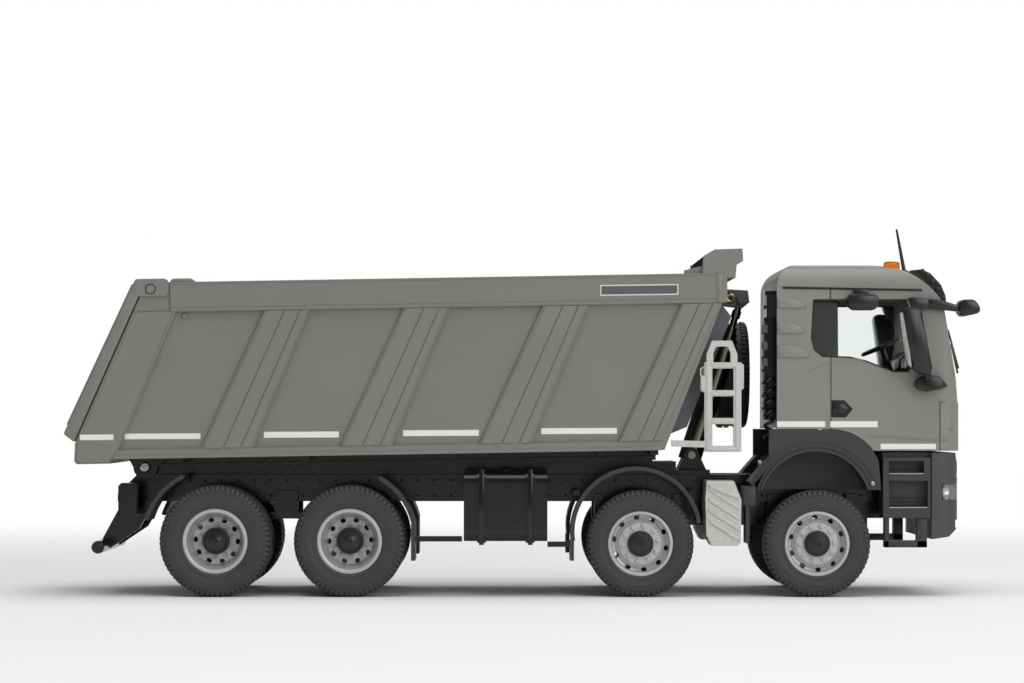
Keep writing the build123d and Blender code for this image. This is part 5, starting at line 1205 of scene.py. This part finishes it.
ANTENNA_FOOT, ANTENNA_TIP = (78.4, -17.0, 66.0), (76.75, -17.0, 75.1)
SOCKET = [(0, -0.6), (0.9, -0.6), (0.85, 0.2), (0.55, 0.7), (0, 0.75)]
mesh = bmesh.new()
add_bar(mesh, ANTENNA_FOOT, ANTENNA_TIP, 0.42, 0.22)
add_turned(mesh, SOCKET, Matrix.Translation(ANTENNA_FOOT), 20)
piece = dressed("black_antenna", mesh, GLOSS_PLASTIC)
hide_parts("antenna")

mesh = bmesh.new()
for hand in SIDES:
    for x, z, r in ((87.3, 46.4, 0.55), (88.0, 43.9, 0.5)):
        knob = [(0, -0.6), (r, -0.6), (r, 0.5), (r * 0.6, 0.8), (0, 0.85)]
        add_turned(mesh, knob, facing(x, hand * 15.2, z, (1, 0, 0.15)), 14)
dressed("wiper_pivots", mesh, GLOSS_PLASTIC)
print("mirrors on both sides: 2, on the right alone: 2")

# %% [markdown]
# Behind the cab and in front of it
#
# Between cab and body the photograph shows a black air duct with ribs and coiled hoses in
# front of the body's wall; on the model they are relief of one black moulding. The hoses
# are a curve with a round bevel, the quickest way to a coil. The front isn't seen: such
# cabs have a slatted grille between the lamps and two wipers.

# %% Rear wall gear, grille and wipers
GEAR_X, RIB_X = (49.8, 51.75), (49.5, 49.9)
duct = [block(GEAR_X, (-16.5, -12.0), (36.0, 62.5)), block(GEAR_X, (-20.5, -16.4), (57.0, 61.5))]
duct += [block(RIB_X, (-16.8, -11.7), (z, z + 0.7)) for z in (38.0 + 2.6 * i for i in range(9))]
dressed("rear_wall_duct", gather(bmesh.new(), duct), BLACK_ENAMEL)
clips = [block((49.2, 50.2), (-18.6, -16.7), (z, z + 1.6)) for z in (47.0, 50.4, 53.8)]
dressed("rear_wall_clips", gather(bmesh.new(), clips), DARK_GREY_ENAMEL_AND_SHADE)

COIL_R, COIL_PITCH, COIL_TURNS, HOSE_R = 0.75, 2.2, 6, 0.32
hoses = bpy.data.curves.new("rear_wall_hoses", "CURVE")
hoses.dimensions = "3D"
hoses.bevel_depth, hoses.bevel_resolution, hoses.use_fill_caps = HOSE_R * MM, 3, True
for y in (-19.6, -17.6):
    turns = [2 * pi * i / 16 for i in range(16 * COIL_TURNS + 1)]
    hose = hoses.splines.new("POLY")
    hose.points.add(len(turns) - 1)
    for point, t in zip(hose.points, turns):
        place = (50.35 + COIL_R * cos(t), y + COIL_R * sin(t), 31.5 + COIL_PITCH * t / (2 * pi))
        point.co = (*(Vector(place) * MM), 1)
    hose.use_smooth = True
hoses.materials.append(GLOSS_PLASTIC)
placed(bpy.data.objects.new("rear_wall_hoses", hoses), "chassis")

SLAT_Y, SLAT_X, SLATS = 16.5, CAB_FRONT + 0.1, 5
slat_front = arc_points((SLAT_X, -SLAT_Y), (CAB_FRONT + CROWN + 0.35, 0), (SLAT_X, SLAT_Y), 16)
slat = slat_front + [(x - 0.6, y) for x, y in reversed(slat_front)]
slats = [prism(slat, z, z + 0.9, "Z") for z in (30.6 + 1.9 * i for i in range(SLATS))]
dressed("grille_slats", gather(bmesh.new(), slats), BLACK_PLASTIC)

mesh = bmesh.new()
for hand in SIDES:
    add_bar(mesh, (88.6, hand * 15.0 - 7, 45.6), (88.35, hand * 7.5 - 7, 51.5), 0.22)
    add_bar(mesh, (89.3, hand * 10 - 8, 46.6), (88.0, hand * 6 - 6, 54.5), 0.2)
dressed("wipers", mesh, GLOSS_PLASTIC)
print("grille slats:", SLATS)

# %% [markdown]
# Relief of the tipping body
#
# The casting has more steps than its main form: a second, narrower layer on every stake
# with two fine grooves along it, a step along the foot rail, the end of the top rail
# behind the gate's arm with a hump on it, and a round knob on the sheet. They are shallow,
# so each is a thin slab on the face that it belongs to, in the same enamel. The grooves
# are the gaps between slabs, which is easier than cutting them.

# %% Steps, grooves and rail ends
BOX_H, FOOT_RAIL_H, RAIL_END_U = 35.75, 1.8, -70.9
GROOVE_W = 0.026
GROOVE_SHARES = (0.43, 0.77)
# Columns: rear and front edge at the foot, rear and front edge at the head
STAKES = [(-65.3 + 28.25 * i, -54.8 + 28.25 * i, -51.9 + 28.25 * i, -42.6 + 28.25 * i) for i in range(3)]
STAKES.append((19.45, 28.55, 32.85, 40.85))


def stake_part(stake, rear, front):
    """The stake's inner layer between two shares of its width."""
    foot_rear, foot_front, head_rear, head_front = stake
    low, high = FOOT_RAIL_H + 0.15, FRONT_HEAD_V - 0.15
    points = [(foot_rear + (foot_front - foot_rear) * share, low) for share in (rear, front)]
    points += [(head_rear + (head_front - head_rear) * share, high) for share in (front, rear)]
    return raked_outline(points)


layer = (POST_Y - 0.05, POST_Y + POST_LAYER)
borders = [0.045] + [s + d for s in GROOVE_SHARES for d in (-GROOVE_W / 2, GROOVE_W / 2)] + [0.955]
rows = []
for stake in STAKES:
    for rear, front in zip(borders[::2], borders[1::2]):
        rows.append((stake_part(stake, rear, front), POST_Y - 0.05, POST_Y + 0.19))
post = [
    (-82.4, FOOT_RAIL_H + 0.2), (-70.6, FRONT_HEAD_V), (rear_u(FRONT_HEAD_V) + 0.5, FRONT_HEAD_V),
    (rear_u(3.6) + 0.5, 3.6), (rear_u(3.3) + 0.3, -0.2), (rear_u(3.3) + 0.8, -0.6), (-84.3, -0.6), (-83.5, 0.2),
]
foot_step = [(-83.0, 0.0), (FRONT_FOOT_U, 0.0), (28.9, 0.75), (-83.0, 0.75)]
rail_end = [(rear_u(FRONT_HEAD_V), FRONT_HEAD_V), (RAIL_END_U, FRONT_HEAD_V)]
rail_end += [(RAIL_END_U, BOX_H), (rear_u(BOX_H), BOX_H)]
hump = [(u, BOX_H + v) for u, v in ((-71.1, -0.02), (-70.6, 0.73), (-66.8, 0.73), (-65.8, -0.02))]
rail_cap = rectangle(FRONT_HEAD_U - 1.1, FRONT_HEAD_U, FRONT_HEAD_V + 0.1, BOX_H)
rows += [
    (raked_outline(post), *layer),
    (raked_outline(foot_step), POST_Y - 0.05, POST_Y + 0.15),
    (raked_outline(rail_end), PANEL_Y - 0.05, PANEL_Y + 0.55),
    (raked_outline(hump), 22.4, 24.7, SIDES, 0.15),
    (raked_outline(rail_cap), RAIL_FACE_Y - 0.2, RAIL_FACE_Y + 0.16, SIDES, 0.12),
]
for v in (FRONT_HEAD_V + 0.75, BOX_H - 0.5):
    crease = rectangle(RAIL_END_U, FRONT_HEAD_U - 0.8, v, v + 0.16)
    rows.append((raked_outline(crease), RAIL_FACE_Y - 0.05, RAIL_FACE_Y + 0.05))
mesh = slabs(*rows)
add_turned_pair(mesh, [(0, -0.2), (0.62, -0.2), (0.62, 0.25), (0.45, 0.42), (0, 0.45)], -68.7, PANEL_Y, 57.1, 20)
dressed("body_relief", mesh, GREY_ENAMEL, "tipper", 40)
print("stakes stepped and grooved:", len(STAKES), "on each side")

# %% [markdown]
# Tailgate
#
# The gate is a raked panel between two thin rounded arms, which turn on pins in the rail's
# end. On the photograph a dark ring of shadow sets each pin off from its arm. A real gap
# that fine would not show, so the shadow is a thin black ring that turns with the arm.

# %% Tailgate, arms and pins
GATE_TOP, GATE_FOOT, GATE_FOOT_OUT, GATE_T, GATE_GAP, GATE_Y = 36.5, 3.6, 5.3, 2.2, 0.33, 24.96
PIN_U, PIN_V, PIN_Y, ARM_CORNER, ARM_Y = -75.0, 34.4, 25.0, 1.0, (24.65, 25.0)
# Corner centres of the arm: front, rear, top and low
ARM_U, ARM_V = (PIN_U + 3.7 - ARM_CORNER, PIN_U - 2.2), (GATE_TOP - ARM_CORNER, PIN_V - 1.5 + ARM_CORNER)
panel = [
    (rear_u(GATE_FOOT) - GATE_GAP, GATE_FOOT),
    (rear_u(GATE_TOP) - GATE_GAP, GATE_TOP),
    (rear_u(GATE_TOP) - GATE_GAP - GATE_T, GATE_TOP),
    (rear_u(GATE_FOOT_OUT) - GATE_GAP - GATE_T - 0.7, GATE_FOOT_OUT),
]
arm = []
for front, top, start in ((0, 0, 0), (1, 0, 90), (1, 1, 180), (0, 1, 270)):
    for turn in (radians(start + 22.5 * step) for step in range(5)):
        arm.append((ARM_U[front] + ARM_CORNER * cos(turn), ARM_V[top] + ARM_CORNER * sin(turn)))
mesh = slabs((raked_outline(panel), -GATE_Y, GATE_Y, (1,), 0.3), (raked_outline(arm), *ARM_Y))
piece = dressed("enamelled_tailgate", mesh, GREY_ENAMEL, "tailgate", 30)
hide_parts("tailgate")

PIN = [(0, -1.0), (0.9, -1.0), (0.9, 0.0), (0.78, 0.1), (0.62, 0.02), (0, 0.0)]
SHADOW_RING = [(0.93, -0.2), (1.12, -0.2), (1.12, 0.03), (0.93, 0.03), (0.93, -0.2)]
pins, shadow_rings = bmesh.new(), bmesh.new()
x, z = raked(PIN_U, PIN_V)
add_turned_pair(pins, PIN, x, PIN_Y, z, 28)
add_turned_pair(shadow_rings, SHADOW_RING, x, PIN_Y, z, 28)
dressed("gate_pins", pins, GREY_ENAMEL, "tipper")
dressed("gate_pin_shadow_rings", shadow_rings, HUB_BLACK, "tailgate")
print("tailgate pins at x, z:", round(x, 2), round(z, 2))

# %% [markdown]
# Chassis details
#
# Two guide strips close the line of light between the body and the frame, and rows of
# rivet heads run along the rails. The silver side box has slanting pressed ridges, the
# ladder a raised face on its rails and rungs. Straps, cap and lips are small mouldings.

# %% Guide strips, rivets, ladder, side box and mudguards
guide = raked_outline(rectangle(-75.6, 27.0, -3.4, -1.25))
dressed("guide_strips", slabs((guide, 7.95, 8.45)), BLACK_ENAMEL)

RIVETS, RIVET_PITCH = 44, 3.4
RIVET = [(0, -0.1), (0.32, -0.1), (0.3, 0.12), (0.16, 0.22), (0, 0.24)]
mesh = bmesh.new()
for i in range(RIVETS):
    for z in (20.3, 23.4):
        add_turned_pair(mesh, RIVET, RIVET_PITCH * i - 76.0, 8.5, z, 8)
dressed("rail_rivets", mesh, BLACK_ENAMEL)

LADDER_Y, LADDER_X, LADDER_Z, LADDER_RAIL, RUNG_H, RUNGS = 24.4, (36.9, 44.4), (29.5, 47.7), 1.6, 1.25, 4
rung_pitch = (LADDER_Z[1] - LADDER_Z[0] - RUNG_H) / (RUNGS - 1)
raised = [rectangle(x, x + 0.9, 29.9, 47.3) for x in (LADDER_X[0] + 0.35, LADDER_X[1] - LADDER_RAIL + 0.35)]
for i in range(RUNGS):
    low = LADDER_Z[0] + i * rung_pitch + 0.25
    raised.append(rectangle(LADDER_X[0] + 1.25, LADDER_X[1] - 1.25, low, low + 0.75))
ear = [(LADDER_X[1] - 0.1, 42.0), (LADDER_X[1] + 0.5, 42.4), (LADDER_X[1] + 0.5, 47.2), (LADDER_X[1] - 0.1, 47.6)]
stay = [(36.1, 42.0), (LADDER_X[0] + 0.1, 41.4), (LADDER_X[0] + 0.1, 47.2), (36.1, 46.2)]
rows = [(outline, LADDER_Y - 0.1, LADDER_Y + 0.2, (-1,), 0.08) for outline in raised]
rows += [(outline, LADDER_Y - 0.9, LADDER_Y, (-1,), 0.1) for outline in (ear, stay)]
dressed("ladder_relief", slabs(*rows), SILVER_COARSE, "tipper", 40)

# The ridges slant down to the front and are cut off at the box's top and foot
BOX_TOP, BOX_LOW, RIDGE_PITCH = 23.0, 10.9, 2.15
rows = []
for high in (24.6 - RIDGE_PITCH * i for i in range(7)):
    start = min(high, BOX_TOP)
    ridge = [(37.7, start), (43.9, high - 3.9), (43.9, high - 4.7), (37.7, start - 0.8)]
    ridge = [(x, max(z, BOX_LOW)) for x, z in ridge]
    if ridge[1][1] - ridge[2][1] > 0.3 and ridge[0][1] - ridge[3][1] > 0.3:
        rows.append((ridge, 24.3, 24.72, (-1,), 0.15))
dressed("side_box_ridges", slabs(*rows), SILVER_SMOOTH, smooth_deg=40)

CAP = [(0, -0.4), (1.3, -0.4), (1.3, 0.3), (1.1, 0.55), (0.4, 0.6), (0, 0.6)]
mesh = slabs(*((rectangle(x - 0.5, x + 0.5, 10.6, 26.0), 24.6, 24.95, SIDES, 0.1) for x in (-8.4, 1.5)))
for hand in SIDES:
    add_turned(mesh, CAP, Matrix.Translation((-3.4, hand * 19.6, 25.5)), 24)
dressed("tank_straps_and_cap", mesh, BLACK_ENAMEL)

# Columns: middle and radius of the mudguard, start and end of its lip in degrees
GUARDS = [(23.0, 13.2, 13.0, 8, 188), (-35.6, 12.2, 13.7, 14, 62), (-62.5, 11.4, 14.7, 116, 163)]
GUARD_Y, LIP_OUT, LIP_IN, LIP_STEPS = 24.6, 0.35, 0.15, 24
rows = []
for x, z, r, start, end in GUARDS:
    turns = [radians(start + (end - start) * i / LIP_STEPS) for i in range(LIP_STEPS + 1)]
    outline = [(x + (r + LIP_OUT) * cos(t), z + (r + LIP_OUT) * sin(t)) for t in turns]
    outline += [(x + (r - LIP_IN) * cos(t), z + (r - LIP_IN) * sin(t)) for t in reversed(turns)]
    rows.append((outline, GUARD_Y - 0.35, GUARD_Y + 0.05))
rows.append((rectangle(44.9, 47.4, 18.6, 22.3), 22.3, 22.8, SIDES, 0.15))
dressed("mudguard_lips", slabs(*rows), BLACK_PLASTIC, smooth_deg=40)
print("rail rivets:", 4 * RIVETS)

# %% [markdown]
# Steering wheel and dashboard
#
# Through the side window the photograph shows a tilted steering wheel and the dark edge of
# the dashboard. The wheel is a turned ring with a hub, three spokes and its column.

# %% Steering wheel and dashboard
STEER_HUB, STEER_R, STEER_TILT, GRIP_R = Vector((76.7, 10.5, 51.4)), 4.2, radians(21.8), 0.42
place = facing(*STEER_HUB, (-sin(STEER_TILT), 0, cos(STEER_TILT)))
mesh = bmesh.new()
grip = [(STEER_R + GRIP_R * cos(2 * pi * i / 12), GRIP_R * sin(2 * pi * i / 12)) for i in range(13)]
add_turned(mesh, grip, place, 48)
add_turned(mesh, [(0, -0.5), (1.0, -0.5), (0.9, 0.2), (0, 0.3)], place, 20)
for turn in (0, 2.1, 4.2):
    hub_end, rim_end = (place @ Vector((r * cos(turn), r * sin(turn), 0)) for r in (0.5, STEER_R))
    add_bar(mesh, hub_end, rim_end, 0.28)
add_bar(mesh, place @ Vector((0, 0, 0)), place @ Vector((0, 0, -6.0)), 0.6)
bmesh.ops.remove_doubles(mesh, verts=mesh.verts, dist=0.001)
piece = dressed("moulded_steering_wheel", mesh, GLOSS_PLASTIC, smooth_deg=40)
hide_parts("steering_wheel")

DASH = [(80.4, 45.4), (84.9, 45.4), (84.6, 50.0), (81.6, 50.6), (79.4, 48.6), (79.4, 46.5)]
dressed("dashboard_top", slabs((DASH, 2.0, 18.8, SIDES, 0.4)), GLOSS_PLASTIC, smooth_deg=40)
print("steering wheel:", 2 * STEER_R, "mm across")

# %% [markdown]
# The table
#
# A pale sweep stands under and behind the model. Near the model it is lit like any paper,
# so that the soft shadow shows, and further out it is plain white for the camera. The two
# fade into each other between 160 and 500 mm from the middle.

# %% Sweep
SWEEP_HALF, SWEEP_DEPTH, SWEEP_BEND, SWEEP_RISE, BEND_STEPS = 2.5, (-1.2, 0.7), 0.35, 1.2, 12
WHITE = (1, 1, 1, 1)


def build_sweep():
    profile = [(SWEEP_DEPTH[0], 0.0)]
    for i in range(BEND_STEPS + 1):
        turn = pi / 2 * i / BEND_STEPS
        profile.append((SWEEP_DEPTH[1] + SWEEP_BEND * sin(turn), SWEEP_BEND * (1 - cos(turn))))
    profile.append((profile[-1][0], SWEEP_RISE))
    mesh = bmesh.new()
    rows = [[mesh.verts.new((x, y, z)) for y, z in profile] for x in (-SWEEP_HALF, SWEEP_HALF)]
    for i in range(len(profile) - 1):
        mesh.faces.new((rows[0][i], rows[1][i], rows[1][i + 1], rows[0][i + 1]))
    data = bpy.data.meshes.new("paper_sweep")
    mesh.to_mesh(data)
    mesh.free()
    data.shade_smooth()
    sweep = bpy.data.objects.new("paper_sweep", data)
    bpy.context.scene.collection.objects.link(sweep)
    return sweep


def sweep_paper():
    """Matt white paper, mixed with plain white far out for the rays that see a background."""
    material, shader, place = new_material("white_paper")
    join_inputs(shader, {"Base Color": paint("#f2f2f0"), "Roughness": 0.9})
    far = add_node(material, "ShaderNodeVectorMath", {"operation": "LENGTH"}, {0: place})
    reach = {"Value": far.outputs["Value"], "From Min": 0.16, "From Max": 0.5}
    fade = add_node(material, "ShaderNodeMapRange", {"interpolation_type": "SMOOTHSTEP"}, reach)
    ray = add_node(material, "ShaderNodeLightPath")
    rays = {0: ray.outputs["Is Camera Ray"], 1: ray.outputs["Is Transmission Ray"]}
    seen = add_node(material, "ShaderNodeMath", {"operation": "ADD", "use_clamp": True}, rays)
    both = {0: fade.outputs["Result"], 1: seen.outputs[0]}
    share = add_node(material, "ShaderNodeMath", {"operation": "MULTIPLY"}, both)
    glow = add_node(material, "ShaderNodeEmission", inputs={"Color": WHITE, "Strength": 1.0})
    parts = {0: share.outputs[0], 1: shader.outputs["BSDF"], 2: glow.outputs["Emission"]}
    mixed = add_node(material, "ShaderNodeMixShader", inputs=parts)
    join_inputs(material.node_tree.nodes["Material Output"], {"Surface": mixed.outputs[0]})
    return material


sweep = build_sweep()
sweep.data.materials.append(sweep_paper())
print("sweep:", 2 * SWEEP_HALF, "m wide")

# %% [markdown]
# The light
#
# Two large soft lamps: one over the table, a little in front, and one from the front right.
# Their power is set so that a colour renders about as it is written. The world gives an
# even fill, and is plain white only for the rays that see the background.

# %% Lamps and world
KEY_POWER, FRONT_POWER, WORLD_STRENGTH = 5.7, 4.2, 0.27


def softbox(name, place, aim, size, power):
    """A rectangular studio lamp at a place, turned to look at a point."""
    lamp = bpy.data.lights.new(name, "AREA")
    lamp.shape = "RECTANGLE"
    lamp.size, lamp.size_y = size
    lamp.energy = power
    thing = bpy.data.objects.new(name, lamp)
    thing.location = place
    thing.rotation_euler = (Vector(aim) - Vector(place)).to_track_quat("-Z", "Y").to_euler()
    bpy.context.scene.collection.objects.link(thing)


softbox("softbox_overhead", (0.1, -0.1, 0.8), (0, 0, 0.03), (1.2, 0.7), KEY_POWER)
softbox("softbox_front_right", (0.6, -0.9, 0.45), (0.02, 0, 0.04), (0.7, 0.6), FRONT_POWER)

world = bpy.data.worlds.new("studio_white")
bpy.context.scene.world = world
world.use_nodes = True
ray = add_node(world, "ShaderNodeLightPath")
rays = {0: ray.outputs["Is Camera Ray"], 1: ray.outputs["Is Transmission Ray"]}
seen = add_node(world, "ShaderNodeMath", {"operation": "MAXIMUM"}, rays)
levels = {"Value": seen.outputs[0], "To Min": WORLD_STRENGTH, "To Max": 1.0}
strength = add_node(world, "ShaderNodeMapRange", inputs=levels)
join_inputs(world.node_tree.nodes["Background"], {"Color": WHITE, "Strength": strength.outputs["Result"]})
bpy.context.scene.view_settings.view_transform = "Standard"
print("lamps:", KEY_POWER, FRONT_POWER, "W, world", WORLD_STRENGTH)
